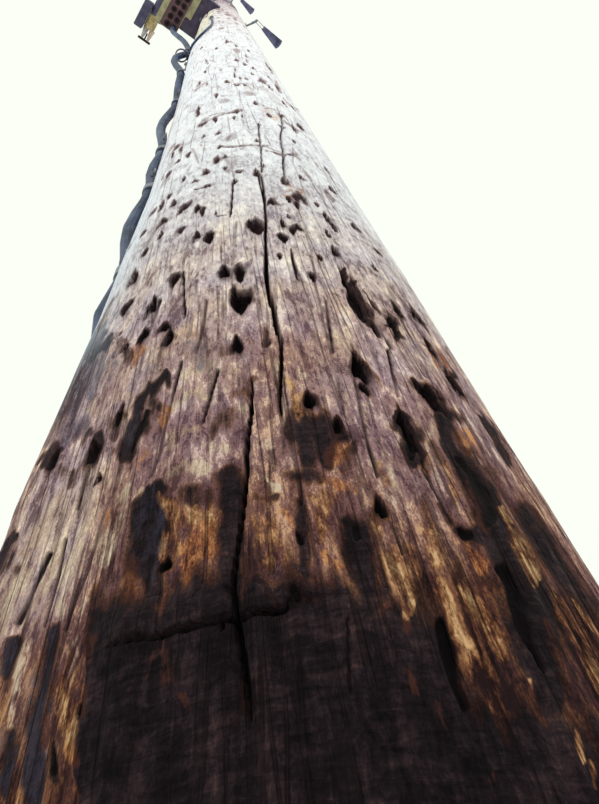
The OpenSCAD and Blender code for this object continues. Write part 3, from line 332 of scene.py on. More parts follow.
# Splits whose outline is sharp, by their depth in mm
SPLITS = {
    3: [(223, 631, 0.9, 224, 621, 1.4, 262, 617, 2.3, 287, 611, 2.2, 290, 604, 1.2, 303, 602, 0.8)],
    2: [(108, 647, 0.4, 135, 641, 0.7, 160, 636, 1.1, 200, 627, 1.5, 223, 622, 1.4)],
}
# Brown marks and shallow cracks of the upper wood
BROWNS = {
    1: [(232, 111, 2.5, 241, 110, 3), (260, 79, 2.4, 266, 82, 2), (276, 82, 2, 279, 91, 2.6)],
    0.9: [(199, 127, 1.2, 206, 121, 1.6, 216, 116, 1.6, 228, 112, 1.8, 241, 109, 2.2),
    (218, 145, 1, 236, 145, 1.4, 254, 144, 1.6, 269, 145, 1.2),
    (266, 150, 1.3, 280, 154, 1.6, 297, 154, 1.6),
    (255, 102, 2.2, 265, 107, 2.2, 275, 110, 1.6, 283, 120, 1.3, 292, 126, 1.6, 301, 131, 1.6),
    (226, 81, 2, 229, 82, 2), (237, 83, 1.6, 245, 84, 1.6), (267, 66, 2, 272, 74, 2.2),
    (217, 158, 3.2, 221, 159, 2.6), (204, 170, 3.4, 207, 171, 3), (255, 172, 4, 260, 173, 3),
    (326, 190, 3, 334, 200, 3)], 0.8: [(283, 98, 1.3, 290, 106, 1.6, 301, 111, 1.3),
    (195, 91, 1.8, 201, 86, 2.2, 207, 82, 1.6), (214, 7, 2, 223, 11, 2.2), (227, 13, 2.2, 237, 18, 2),
    (231, 5, 2, 239, 10, 1.8), (186, 156, 2.6, 189, 157, 2.2), (225, 169, 2.4, 228, 170, 2.4),
    (183, 180, 3, 187, 181, 2.2), (300, 166, 2, 312, 180, 2.4), (306, 150, 1.6, 318, 166, 2),
    (330, 176, 2, 340, 190, 2.2)], 0.7: [(218, 21, 1.8, 231, 24, 2), (206, 16, 1.6, 211, 20, 1.6),
    (240, 300, 8, 242, 310, 6), (226, 140, 2, 230, 135, 2), (172, 204, 2.6, 175, 206, 2.2)],
    0.6: [(190, 112, 2.2, 198, 110, 2), (290, 150, 2, 300, 160, 2), (200, 144, 2, 206, 150, 1.6),
    (246, 128, 1.6, 252, 134, 1.4), (222, 96, 1.5, 232, 95, 1.5), (250, 92, 1.5, 256, 95, 1.5),
    (210, 60, 1.4, 216, 62, 1.4), (228, 66, 1.4, 240, 67, 1.4), (246, 56, 1.6, 250, 58, 1.6),
    (222, 44, 1.3, 230, 46, 1.3)],
}
# Thin drying lines, by strength, which all have one width: x and y
LINES = {
    1: [(118, 462, 110, 490, 100, 520, 94, 545, 86, 572, 76, 598, 66, 630),
    (67, 540, 60, 575, 52, 605, 46, 627), (54, 555, 42, 585, 34, 606, 26, 627),
    (181, 362, 172, 396, 163, 430, 158, 454, 150, 476), (218, 370, 209, 400, 203, 422),
    (353, 372, 360, 410, 369, 450, 377, 478), (386, 515, 394, 535, 402, 556), (388, 350, 394, 380, 398, 396),
    (347, 622, 348, 660, 350, 695), (266, 342, 264, 370), (422, 470, 440, 500, 452, 522),
    (92, 460, 84, 486, 78, 510), (300, 480, 302, 506), (326, 300, 330, 330, 333, 352),
    (206, 300, 203, 326, 196, 352), (160, 300, 150, 330)],
}
# Upper edge of the blackened wood: x and y
BURNT_X = (
    70, 84, 88, 94, 110, 150, 190, 225, 262, 300, 345, 374, 400, 430, 445, 460, 480, 505, 520, 545, 562,
    580, 640,
)
BURNT_Y = (
    900, 720, 660, 624, 610, 602, 600, 592, 598, 602, 614, 634, 642, 634, 636, 668, 704, 722, 706, 722,
    730, 744, 770,
)
# The broken edge above the crack across the grain: x and y
LEDGE_X = (112, 160, 223, 287, 303, 340)
LEDGE_Y = (646, 636, 622, 611, 602, 600)

# How far the left side stands out from the plain cone: heights, millimetres and azimuths
LEFT_HEIGHTS = (1.42, 1.62, 1.78, 2.02, 2.16, 2.4, 2.7, 3.05, 3.3, 3.6, 3.95)
LEFT_OUT_MM = (0.0, 13.5, 13.5, 3.5, 0.5, -7.0, -9.0, -13.0, -12.0, -6.0, 0.0)
LEFT_AZ = (-80, -66, -60, -34)
# Heights at which the wood's colours are set, and the same as 0 to 1. On the side the camera faces, the
# tones from about 2.2 to 5.4 m are pale wood raised to near white by painted brightness
LEVEL_HEIGHTS = (0.0, 1.61, 1.69, 1.79, 1.93, 2.2, 2.75, 4.0, 5.4, 6.6)
LEVELS = np.arange(len(LEVEL_HEIGHTS)) / (len(LEVEL_HEIGHTS) - 1)
# Out of the camera's sight the wood keeps to the middle of that scale, by height, without the front's
# painted brightness
BACK_HEIGHTS = (0.0, 1.5, 1.85, 2.6, 5.0, 8.84)
BACK_LEVELS = (0.02, 0.12, 0.36, 0.47, 0.5, 0.45)
# Where the wood has the colours of another height: how much higher, and the place's azimuths and heights
SHIFTS = [
    (0.145, (-100, -80, -36, -26), (1.655, 1.685, 1.72, 1.82)),
    (-0.035, (8, 20, 80, 100), (1.5, 1.58, 1.64, 1.665)),
    (0.045, (4, 13, 26, 34), (1.655, 1.685, 1.77, 1.83)),
    (0.025, (-36, -28, -12, -6), (1.655, 1.685, 1.77, 1.83)),
]
# Pale sky light on the left
SHEEN_AZ, SHEEN_Z = (-76, -62, -52, -34), (1.85, 2.02, 3.5, 5.0)
# Between these heights the wood gets rougher downwards
LOW_START, LOW_FULL = 1.95, 1.66
# The blackened foot: the height of its edge, how much lower that is in front, and its wave and phase
FOOT_Z, FOOT_DROP, FOOT_WAVE, FOOT_PHASE = 1.64, 0.062, 0.014, 40
# In the camera's picture: the left end of the blackened wood, how it fades, how ragged it is, and the
# ledge's ends and height
BURNT_LEFT, BURNT_FADE, BURNT_RAG = 84, (-46, 22), 26
LEDGE_ENDS, LEDGE_RISE = (98, 126, 300, 335), (-0.5, 2.5, 18, 46)
LINE_HALF = 1.7
# How far the marks' outlines wander, across and up, where no mark is, and the height above which none is
WANDER_X, WANDER_Y = 11, 20
NOWHERE = -999.0
VIEW_TOP = 7.4
MASKS = ("pit", "tar", "gold", "rust", "cool_shade", "pale", "sheen", "level", "behind", "back_level", "far")


def wrapped(az, centre):
    return (az - centre + 180) % 360 - 180


def picture(az, z):
    """Where points of the wood lie in the camera's picture, and how far they face it."""
    a, r = np.radians(az), pole_r(z)
    x, y, up = r * np.sin(a) - EYE[0], -r * np.cos(a) - EYE[1], z - EYE[2]
    right, ahead, deep = (x * v[0] + y * v[1] + up * v[2] for v in EYE_AXES)
    deep = np.maximum(deep, 0.02)
    seen = smooth(-0.012, 0.004, -EYE[1] * np.cos(a) - r) * (z > EYE[2] + 0.05)
    return WIDTH / 2 + FOCAL * right / deep, HEIGHT / 2 - FOCAL * ahead / deep, seen


def rows_of(table):
    """Each row of a grouped table, after the number that its group goes by."""
    return [(number, row) for number, rows in table.items() for row in rows]


def strokes(px, py, table, reach=2.6, half=None):
    """For each stroke that touches some points: the number it goes by, the points' index, and their distance
    as a share of its half width. The half widths are in the table, or else one is given for all."""
    for number, row in rows_of(table):
        points = [(*point, half)[:3] for point in np.reshape(row, (-1, 2 if half else 3))]
        xs, ys, ws = zip(*points)
        m = reach * max(ws)
        close = (px > min(xs) - m) & (px < max(xs) + m) & (py > min(ys) - m) & (py < max(ys) + m)
        i = np.nonzero(close)[0]
        if not i.size:
            continue
        best = np.full(i.size, 99.0)
        for (x0, y0, w0), (x1, y1, w1) in zip(points, points[1:]):
            dx, dy = x1 - x0, y1 - y0
            t = np.clip(((px[i] - x0) * dx + (py[i] - y0) * dy) / (dx * dx + dy * dy), 0, 1)
            off = np.hypot(px[i] - x0 - t * dx, py[i] - y0 - t * dy)
            best = np.minimum(best, off / (w0 + t * (w1 - w0)))
        yield number, i, best


class Wood:
    """Points of the wood's surface, with how far each stands out in metres and its masks from 0 to 1."""

    def __init__(self, az, z):
        self.az = az = wrapped(az, 0)
        self.z = z
        self.low = smooth(LOW_START, LOW_FULL, z)
        self.mask = {name: np.zeros(az.size) for name in MASKS}
        self.sway = grain(az, z, 0.075, 0.4, 1)
        self.fibre = grain(az, z, 0.006, 0.11, 2)
        self.fine = grain(az, z, 0.0025, 0.055, 3, 2)
        self.rag = grain(az, z, 0.0035, 0.012, 4)
        self.blotch = grain(az, z, 0.022, 0.06, 5)
        self.broad = grain(az, z, 0.055, 0.3, 9)
        self.strands = grain(az, z, 0.0045, 0.1, 10)
        self.roughen()
        self.blacken_foot()
        self.mark_front()
        self.mask["tar"] *= 1 - 0.9 * smooth(0.3, 0.8, self.mask["gold"])
        self.pierce()
        self.gouge()
        self.split()
        self.crack_across()
        self.set_levels()

    def near(self, az, z, half_az, half_z):
        """Index of the points that a feature can touch."""
        return np.nonzero((np.abs(wrapped(self.az, az)) < half_az) & (np.abs(self.z - z) < half_z))[0]

    def mark(self, name, i, value):
        mask = self.mask[name]
        mask[i] = np.maximum(mask[i], value)

    def roughen(self):
        """Swelling, grain and furrows, deeper low down."""
        self.out = 0.001 * np.interp(self.z, LEFT_HEIGHTS, LEFT_OUT_MM) * plateau(self.az, *LEFT_AZ)
        self.out += 0.0022 * self.sway
        self.out += 0.001 * ((0.6 + 0.8 * self.low) * self.fibre + (0.25 + 0.4 * self.low) * self.fine)
        self.out += 0.001 * self.low * (1.4 * self.blotch + 0.7 * self.strands)

    def blacken_foot(self):
        """The wood is dark all round below breast height."""
        az, z, broad = self.az, self.z, self.broad
        front = smooth(70, 56, np.abs(az))
        wave = FOOT_WAVE * np.sin(np.radians(az * 3 + FOOT_PHASE)) * (1 - front)
        above = z - (FOOT_Z - FOOT_DROP * front + wave + 0.03 * self.blotch + 0.02 * self.fibre)
        depth = 0.92 - 0.42 * smooth(1.52, 0.9, z) + 0.6 * broad * smooth(1.55, 1.4, z)
        in_front = smooth(0.02, -0.026, above) * depth
        behind = smooth(0.35, -0.5, above + 0.35 * broad) * (0.62 + 0.5 * broad)
        self.mask["tar"] = np.clip(front * in_front + (1 - front) * behind, 0, 0.95)

    def mark_front(self):
        """The marks that the camera's picture places."""
        px0, py0, seen = picture(self.az, self.z)
        px0 = np.where(seen > 0, px0, NOWHERE)
        py0 = np.where(self.z < VIEW_TOP, py0, NOWHERE)
        px = px0 + WANDER_X * grain(self.az, self.z, 0.013, 0.024, 6)
        py = py0 + WANDER_Y * grain(self.az, self.z, 0.013, 0.024, 7)
        rag, fibre, fine, blotch = self.rag, self.fibre, self.fine, self.blotch
        ragged = 0.8 * rag + 1.0 * fibre + 0.5 * fine + 0.8 * blotch + 0.6 * self.strands
        below = py - np.interp(px, BURNT_X, BURNT_Y) + 1.2 * np.minimum(px - BURNT_LEFT, 0)
        burnt = seen * smooth(*BURNT_FADE, below + BURNT_RAG * ragged)
        self.mask["tar"] = np.maximum(self.mask["tar"], burnt)
        for name, table in (("tar", DARKS), ("rust", RUSTS), ("gold", GOLDS), ("cool_shade", COOL_SHADES)):
            for strength, i, e in strokes(px, py, table):
                self.mark(name, i, strength * seen[i] * smooth(1.95, 0.15, e + 0.75 * ragged[i]))
        for strength, i, e in strokes(0.7 * px0 + 0.3 * px, 0.7 * py0 + 0.3 * py, PALES):
            self.mark("pale", i, strength * seen[i] * smooth(1.7, 0.15, e + 0.35 * ragged[i]))
        for depth, i, e in strokes(px, py, CAVES, 2.0):
            self.out[i] -= 0.0005 * depth * smooth(1.5, 0.2, e + 0.5 * rag[i] + 0.4 * fibre[i]) * seen[i]
            self.mark("pit", i, smooth(1.8, 0.6, e + 0.7 * rag[i] + 0.4 * fibre[i]) * seen[i])
        for strength, i, e in strokes(px0, py0, BROWNS):
            e = 1.7 * e + 1.3 * rag[i] + 0.9 * fibre[i] + 0.6 * fine[i]
            worn = np.clip(0.75 + 1.6 * rag[i] + 0.9 * blotch[i], 0.1, 1)
            self.mark("pit", i, 0.75 * strength * worn * smooth(1.9, 0.3, e) * seen[i])
        for depth, i, e in strokes(px0, py0, SPLITS, 3.0):
            e = e + 0.5 * fine[i] + 0.4 * rag[i]
            self.out[i] -= 0.001 * depth * smooth(1.4, 0.5, e) * seen[i]
            self.mark("pit", i, smooth(1.8, 0.6, e) * seen[i])
        for strength, i, e in strokes(px0, py0, LINES, 3.2, LINE_HALF):
            inside = strength * smooth(1.5, 0.4, e) * seen[i] * np.clip(0.8 + 1.2 * blotch[i], 0.2, 1)
            self.out[i] -= 0.0012 * inside
            self.mark("pit", i, 0.85 * inside)
        over = np.interp(px0, LEDGE_X, LEDGE_Y) - py0
        self.out += 0.002 * plateau(over, *LEDGE_RISE) * plateau(px0, *LEDGE_ENDS) * seen

    def pierce(self):
        """Spike holes, each a ragged point with a raised lip."""
        for depth, (az0, z0, half_az, half_mm) in rows_of(HOLES):
            i = self.near(az0, z0, 2.4 * half_az, 0.0021 * abs(half_mm))
            t = (self.z[i] - z0) / (0.001 * half_mm)
            width = half_az * np.clip(0.78 - 0.42 * t, 0.25, 1.15) * (1.0 if z0 < 2.1 else 1.05)
            e = np.sqrt((wrapped(self.az[i], az0) / width) ** 2 + t ** 2)
            e = e + 0.75 * self.rag[i] + 0.4 * self.fine[i] + 0.4 * self.fibre[i]
            inside = smooth(1.15, 0.45, e)
            lip = smooth(1.9, 1.15, e) * (1 - inside)
            self.out[i] += -0.0007 * depth * inside + 0.0006 * lip
            self.mark("pit", i, smooth(1.8, 0.6, e))
            self.mark("rust", i, 0.5 * lip * (0.3 + self.low[i]))

    def gouge(self):
        """The torn troughs replace the relief and never fill it."""
        for az0, z0, half_az, half_mm, depth in GOUGE:
            i = self.near(az0, z0, 2.2 * half_az, 0.002 * half_mm)
            t = (self.z[i] - z0) / (0.001 * half_mm)
            e = np.sqrt((wrapped(self.az[i], az0) / half_az) ** 2 + t ** 2)
            e = e + 0.2 * self.rag[i] + 0.5 * self.fibre[i] + 0.7 * self.strands[i]
            inside = smooth(1.3, 0.2, e)
            cut = self.out[i] * (1 - inside) - 0.0006 * depth * inside
            self.out[i] = np.minimum(self.out[i], cut)
            self.mark("pit", i, 0.95 * smooth(1.25, 0.45, e))

    def split(self):
        """Long checks, narrow towards their ends, with their banks drawn in."""
        for width, depth, *line in CHECKS:
            azs, zs = np.reshape(line, (-1, 2))[::-1].T
            mid, half_z = (zs[0] + zs[-1]) / 2, (zs[-1] - zs[0]) / 2
            i = self.near(azs.mean(), mid, 4 + np.ptp(azs), half_z)
            z, rag = self.z[i], self.rag[i]
            off = np.radians(wrapped(self.az[i], np.interp(z, zs, azs))) * pole_r(z) + 0.0002 * rag
            share = 0.3 + 0.7 * smooth(0, 0.25, (half_z - np.abs(z - mid)) / half_z)
            e = np.abs(off) / (0.0005 * width * share * (1 + 0.7 * self.blotch[i] + 0.15 * rag))
            inside = smooth(1.35, 0.55, e)
            self.out[i] += -0.001 * depth * inside * share
            self.mark("pit", i, smooth(1.6, 0.8, e))
            self.out[i] += -0.0007 * smooth(5.0, 1.0, e) * (1 - inside)

    def crack_across(self):
        """Cracks that step from fibre to fibre across the grain."""
        for height, depth, *line in CROSS_CRACKS:
            azs, zs = np.reshape(line, (-1, 2)).T
            mid, half_az = (azs[0] + azs[-1]) / 2, (azs[-1] - azs[0]) / 2
            i = self.near(mid, zs.mean(), half_az, 0.5 * np.ptp(zs) + 0.02)
            az = self.az[i]
            step = grain(az, zs.mean(), 0.0035, 1.0, 8, 2)
            off = self.z[i] - np.interp(az, azs, zs) - 0.003 * step
            share = 0.3 + 0.7 * smooth(0, 0.3, (half_az - np.abs(az - mid)) / half_az)
            half = 0.0005 * height * share * (1 + 0.8 * step)
            inside = smooth(1.3, 0.6, np.abs(off) / np.maximum(half, 2e-4))
            self.out[i] += -0.001 * depth * inside * share
            self.mark("pit", i, inside * 0.95)

    def set_levels(self):
        """Which height's colours each point has, seen from the front and from behind."""
        az, z, mask = self.az, self.z, self.mask
        ragged = (0.055 * self.blotch + 0.03 * self.fibre) * smooth(1.5, 1.75, z)
        lift = sum(up * plateau(az, *azimuths) * plateau(z, *heights) for up, azimuths, heights in SHIFTS)
        mask["level"] = np.interp(z + lift + ragged, LEVEL_HEIGHTS, LEVELS)
        mask["behind"] = smooth(60, 88, np.abs(az) + 14 * self.blotch)
        mask["back_level"] = np.interp(z + 0.3 * self.broad, BACK_HEIGHTS, BACK_LEVELS) + 0.06 * self.broad
        mask["sheen"] = plateau(az, *SHEEN_AZ) * plateau(z, *SHEEN_Z)


# Materials


def rgb(r, g, b):
    """Linear colour from one given as 0 to 255."""
    parts = (c / 255.0 for c in (r, g, b))
    return (*(c / 12.92 if c <= 0.04045 else ((c + 0.055) / 1.055) ** 2.4 for c in parts), 1.0)


def shades(*stops):
    """Stops of a colour ramp, from rows of a place and a colour given as 0 to 255."""
    return [(place, rgb(*colour)) for place, *colour in stops]


class Term:
    """A number or colour of a material. Sums and products of terms add the nodes that work them out."""

    def __init__(self, nodes, socket):
        self.nodes, self.socket = nodes, socket

    def __add__(self, other):
        return self.nodes.math("ADD", self, other)

    def __sub__(self, other):
        return self.nodes.math("SUBTRACT", self, other)

    def __mul__(self, other):
        return self.nodes.math("MULTIPLY", self, other)


class Nodes:
    """Short calls for building one material."""

    def __init__(self, name):
        self.mat = bpy.data.materials.new(name)
        self.mat.use_nodes = True
        self.tree = self.mat.node_tree
        self.tree.nodes.clear()
        surface = self.term("BsdfPrincipled", {})
        self.shader = surface.socket.node
        self.put(self.tree.nodes.new("ShaderNodeOutputMaterial"), {0: surface})
        self.coord = self.term("TexCoord", {}, "Object")

    def put(self, node, inputs):
        for name, value in inputs.items():
            if isinstance(value, Term):
                self.tree.links.new(value.socket, node.inputs[name])
            else:
                node.inputs[name].default_value = value

    def term(self, kind, inputs, output=0, **settings):
        node = self.tree.nodes.new("ShaderNode" + kind)
        for name, value in settings.items():
            setattr(node, name, value)
        self.put(node, inputs)
        return Term(self, node.outputs[output])

    def attr(self, name):
        return self.term("Attribute", {}, "Fac", attribute_name=name)

    def scaled(self, scale, stretch):
        return self.term("Mapping", {"Vector": self.coord, "Scale": (scale, scale, scale * stretch)})

    def noise(self, scale, stretch=1.0, detail=3.0, rough=0.55, distort=0.0):
        inputs = {"Vector": self.scaled(scale, stretch), "Scale": 1.0}
        inputs.update({"Detail": detail, "Roughness": rough, "Distortion": distort})
        return self.term("TexNoise", inputs, "Fac")

    def voronoi(self, scale, stretch, output="Distance", feature="F1", warp=0.0):
        place = self.scaled(scale, stretch)
        if warp:
            sway = self.term("TexNoise", {"Vector": self.scaled(scale * 0.6, 1 / 6), "Scale": 1.0}, "Color")
            place = self.term("VectorMath", {0: sway, 1: (warp,) * 3, 2: place}, operation="MULTIPLY_ADD")
        return self.term("TexVoronoi", {"Vector": place, "Scale": 1.0}, output, feature=feature)

    def math(self, operation, a, b=0.0, clamp=False):
        return self.term("Math", {0: a, 1: b}, operation=operation, use_clamp=clamp)

    def span(self, value, a, b, c=0.0, d=1.0):
        """From c to d, smoothly, as the value goes from a to b."""
        inputs = {"Value": value, "From Min": a, "From Max": b, "To Min": c, "To Max": d}
        return self.term("MapRange", inputs, interpolation_type="SMOOTHSTEP")

    def ramp(self, value, stops):
        colour = self.term("ValToRGB", {"Fac": value})
        elements = colour.socket.node.color_ramp.elements
        while len(elements) < len(stops):
            elements.new(0.5)
        for element, stop in zip(elements, stops):
            element.position, element.color = stop
        return colour

    def mix(self, fac, a, b, blend="MIX"):
        return self.term("Mix", {0: fac, 6: a, 7: b}, 2, data_type="RGBA", blend_type=blend)

    def bump(self, height, distance, strength):
        return self.term("Bump", {"Height": height, "Distance": distance, "Strength": strength})

    def done(self, colour, rough, inputs):
        self.put(self.shader, {"Base Color": colour, "Roughness": rough, **inputs})
        return self.mat


SHINE = "Specular IOR Level"
# Tones of the wood, of its small marks and of the insides of its holes, at each of LEVEL_HEIGHTS. The
# near-white tones from 2.2 to 5.4 m hold painted brightness
WOOD_DARK = [
    (66, 54, 50), (32, 20, 22), (68, 44, 46), (99, 74, 79), (120, 101, 106), (186, 180, 188),
    (214, 211, 221), (204, 198, 208), (184, 170, 178), (130, 106, 120),
]
WOOD_MID = [
    (112, 96, 86), (62, 38, 37), (112, 80, 78), (158, 129, 129), (194, 180, 181), (228, 229, 237),
    (243, 245, 253), (243, 243, 250), (230, 221, 223), (184, 167, 179),
]
WOOD_LIGHT = [
    (158, 142, 126), (114, 74, 56), (194, 156, 133), (230, 207, 191), (242, 232, 221), (250, 250, 254),
    (252, 253, 255), (252, 252, 255), (245, 237, 238), (220, 206, 216),
]
WOOD_MARK = [
    (22, 17, 17), (22, 15, 17), (30, 20, 22), (46, 30, 33), (78, 54, 54), (142, 114, 114), (172, 146, 148),
    (174, 146, 150), (146, 112, 116), (104, 74, 84),
]
WOOD_CORE = [
    (14, 11, 12), (14, 9, 12), (16, 11, 13), (20, 13, 16), (28, 18, 21), (84, 66, 70), (112, 92, 96),
    (108, 84, 88), (96, 66, 74), (72, 48, 58),
]
# Noises in the wood: scale, stretch along the pole, detail, roughness, distortion
WOOD_NOISES = {
    "patch": (30, 0.45, 4, 0.6, 0.6), "mottle": (92, 0.34, 5, 0.66, 0.5), "flake": (330, 0.28, 4, 0.7, 0.5),
    "streak": (230, 0.055, 4, 0.62, 0.2), "strand": (420, 0.085, 3, 0.6), "fibre": (760, 0.04, 3, 0.6),
    "furrow": (120, 0.028, 2, 0.5), "grit": (1500, 0.5, 2, 0.5), "ripple": (95, 3.2, 4, 0.6, 0.7),
    "hue": (34, 0.5, 4, 0.65, 0.3), "gate": (46, 0.16, 3, 0.6),
}
# Factors on red, green and blue, from more mauve to browner patches
HUES = [(0.38, (0.94, 0.92, 1.03, 1)), (0.62, (1.09, 1.0, 0.87, 1))]
CREAM = shades((0.15, 104, 80, 76), (0.5, 166, 138, 122), (0.9, 214, 194, 172))
CREAM_HIGH = rgb(226, 224, 196)
RUST = shades((0.2, 60, 32, 25), (0.5, 132, 78, 48), (0.85, 194, 138, 92))
RUST_HIGH = rgb(214, 176, 152)
RUST_IN_SOOT = rgb(76, 41, 31)
BROWNED = shades((0.2, 46, 25, 20), (0.5, 92, 55, 40), (0.9, 158, 110, 76))
SOOT = shades((0.15, 8, 6, 9), (0.45, 26, 18, 23), (0.7, 45, 33, 37), (0.98, 78, 55, 52))
GOLD_RIM = shades((0.2, 54, 29, 22), (0.5, 108, 66, 44), (0.9, 172, 122, 82))
GOLD = shades((0.2, 66, 38, 26), (0.5, 134, 92, 60), (0.9, 202, 163, 122))
# Colours of the bluish painted shade, and of that shade where it lies on blackened wood
BLUE_SHADE = shades((0.2, 26, 23, 34), (0.5, 54, 49, 65), (0.85, 112, 104, 120))
BLUE_SHADE_ON_SOOT = rgb(30, 26, 37)
SHEEN = rgb(226, 238, 252)


def wood_material():
    m = Nodes("weathered_pole_wood")
    noise = {name: m.noise(*sizes) for name, sizes in WOOD_NOISES.items()}
    mask = {name: m.attr(name) for name in MASKS}
    level, behind = mask["level"], mask["behind"]

    def blend(total=0.0, **gains):
        """Noises about nought, added up with their gains."""
        for name, gain in gains.items():
            total = (noise[name] - 0.5) * gain + total
        return total

    def by_level(colours):
        stops = [(place, rgb(*colour)) for place, colour in zip(LEVELS, colours)]
        return m.mix(behind, m.ramp(level, stops), m.ramp(mask["back_level"], stops))

    soft = blend(mottle=2.5, flake=2.3)
    broken = soft + blend(streak=0.9, strand=0.9)

    def present(name):
        return m.span(mask[name], 0.02, 0.3)

    def edge(name, lo=0.26, hi=0.84, shift=0.0, ragged=broken):
        """A mask with a broken outline."""
        return m.span(mask[name] + shift + ragged, lo, hi) * present(name)

    tone = blend(0.5, patch=1.1, mottle=1.6, flake=1.6, streak=0.38, strand=0.35, fibre=0.35, grit=0.7)
    col = m.mix(m.span(tone, 0.15, 0.52), by_level(WOOD_DARK), by_level(WOOD_MID))
    col = m.mix(m.span(tone, 0.52, 0.95), col, by_level(WOOD_LIGHT))
    low = m.math("ADD", m.span(level, 0.54, 0.4), behind * 0.5, clamp=True)
    col = m.mix(low, col, m.mix(1.0, col, m.ramp(noise["hue"], HUES), "MULTIPLY"))
    # Bleached and red-brown places, and wood browned round the blackened ones
    cream = m.mix(m.span(level, 0.62, 0.75), m.ramp(tone, CREAM), CREAM_HIGH)
    col = m.mix(edge("pale", 0.24, 0.9, ragged=soft) * 0.85, col, cream)
    rusty = edge("rust")
    col = m.mix(rusty * 0.9, col, m.mix(m.span(level, 0.46, 0.62), m.ramp(tone, RUST), RUST_HIGH))
    col = m.mix(edge("tar", 0.02, 0.5, 0.12) * 0.75, col, m.ramp(tone, BROWNED))
    # Blackened wood, where some red-brown shows through
    tar = m.span(mask["tar"] * 1.35 + broken, 0.22, 1.05) * present("tar")
    soot = blend(0.5, patch=1.0, mottle=1.1, flake=0.9, ripple=1.05, strand=0.35, grit=0.4)
    col = m.mix(tar, col, m.ramp(soot, SOOT))
    col = m.mix(rusty * tar * 0.6, col, RUST_IN_SOOT)
    # Worn golden wood, with brown round it
    gold = mask["gold"] + blend(streak=2.4, strand=1.7, mottle=2.4, flake=2.4)
    near_gold = m.span(mask["gold"], 0.02, 0.25)
    col = m.mix(m.span(gold, -0.05, 0.55) * near_gold * 0.7, col, m.ramp(tone, GOLD_RIM))
    col = m.mix(m.span(gold, 0.4, 1.3) * near_gold, col, m.ramp(tone, GOLD))
    # Bluish painted shade, darker where it lies on blackened wood
    col = m.mix(edge("cool_shade") * 0.85, col, m.mix(tar * 0.85, m.ramp(tone, BLUE_SHADE), BLUE_SHADE_ON_SOOT))
    col = m.mix(mask["sheen"] * 0.5, col, SHEEN)
    # Fine drying lines, and long furrows low down
    mark = by_level(WOOD_MARK)
    lines = m.span(m.voronoi(72, 0.03, feature="DISTANCE_TO_EDGE", warp=0.35), 0.045, 0.004)
    lines = lines * m.span(noise["gate"], 0.44, 0.62)
    col = m.mix(lines * 0.62, col, mark)
    crease = m.span(m.math("ABSOLUTE", noise["furrow"] - 0.5), 0.03, 0.004)
    crease = crease * (low * m.span(noise["patch"], 0.4, 0.56))
    col = m.mix(crease * 0.5, col, mark)

    def spots(scale, stretch, lo, hi):
        pick = m.term("SeparateColor", {0: m.voronoi(scale, stretch, "Color")})
        size = m.span(pick, 0.25, 1.0, lo, hi)
        return m.span(blend(m.voronoi(scale, stretch), flake=0.3, mottle=0.3) - size, 0.09, -0.05)

    # Spike marks too small to model, longer where they are seen from further off
    high = m.math("SUBTRACT", m.span(level, 0.6, 0.74), behind, clamp=True)
    spot = m.mix(high, spots(27, 0.42, 0.0, 0.25), spots(30, 0.16, 0.0, 0.3)) * mask["far"]
    col = m.mix(spot * 0.85, col, mark)
    # The modelled holes, with frayed rims
    pit = mask["pit"]
    frayed = pit + blend(flake=0.8, mottle=0.7)
    col = m.mix(m.span(frayed, 0.05, 0.5) * m.span(pit, 0.0, 0.1) * 0.66, col, mark)
    col = m.mix(m.span(frayed, 0.42, 0.88) * m.span(pit, 0.1, 0.3), col, by_level(WOOD_CORE))
    height = noise["streak"] * 0.7
    for name, share in (("fibre", 0.35), ("flake", 0.5), ("mottle", 0.5), ("grit", 0.08)):
        height = height + noise[name] * share
    height = height + noise["ripple"] * tar * 0.7 - spot * 1.4 - lines * 0.8 - crease * 0.9
    rough = m.span(tar, 0.0, 1.0, 0.92, 0.8)
    return m.done(col, rough, {"Normal": m.bump(height, 0.0016, 0.9), SHINE: 0.05})


def zinc_material(name, light, dark, rough):
    """Zinc with a spangle, stains and some rust."""
    m = Nodes(name)
    spangle = m.noise(160, 1.0, 4, 0.6)
    tone = spangle * 0.5 + m.noise(28.8, 0.4, 4, 0.6) * 0.5
    rusty = m.span(m.noise(56, 0.6, 5, 0.7), 0.52, 0.7)
    col = m.mix(rusty * 0.35, m.ramp(tone, shades((0.32, *dark), (0.62, *light))), rgb(96, 58, 38))
    matt = m.span(tone, 0.3, 0.7, rough + 0.12, rough - 0.08)
    return m.done(col, matt, {"Normal": m.bump(spangle, 0.0004, 0.5), "Metallic": 0.75})


def plastic_material(name, light, dark, rough, scale=120.0):
    """A dull coat with faint clouds and a fine pebbled surface."""
    m = Nodes(name)
    cloud = m.noise(scale * 0.25, 0.5, 4, 0.6)
    pebble = m.noise(scale * 6, 1.0, 2, 0.5)
    col = m.ramp(cloud * 0.75 + pebble * 0.25, shades((0.32, *dark), (0.64, *light)))
    matt = m.span(cloud, 0.3, 0.7, rough + 0.1, rough - 0.1)
    return m.done(col, matt, {"Normal": m.bump(pebble, 0.0002, 0.4), SHINE: 0.3})


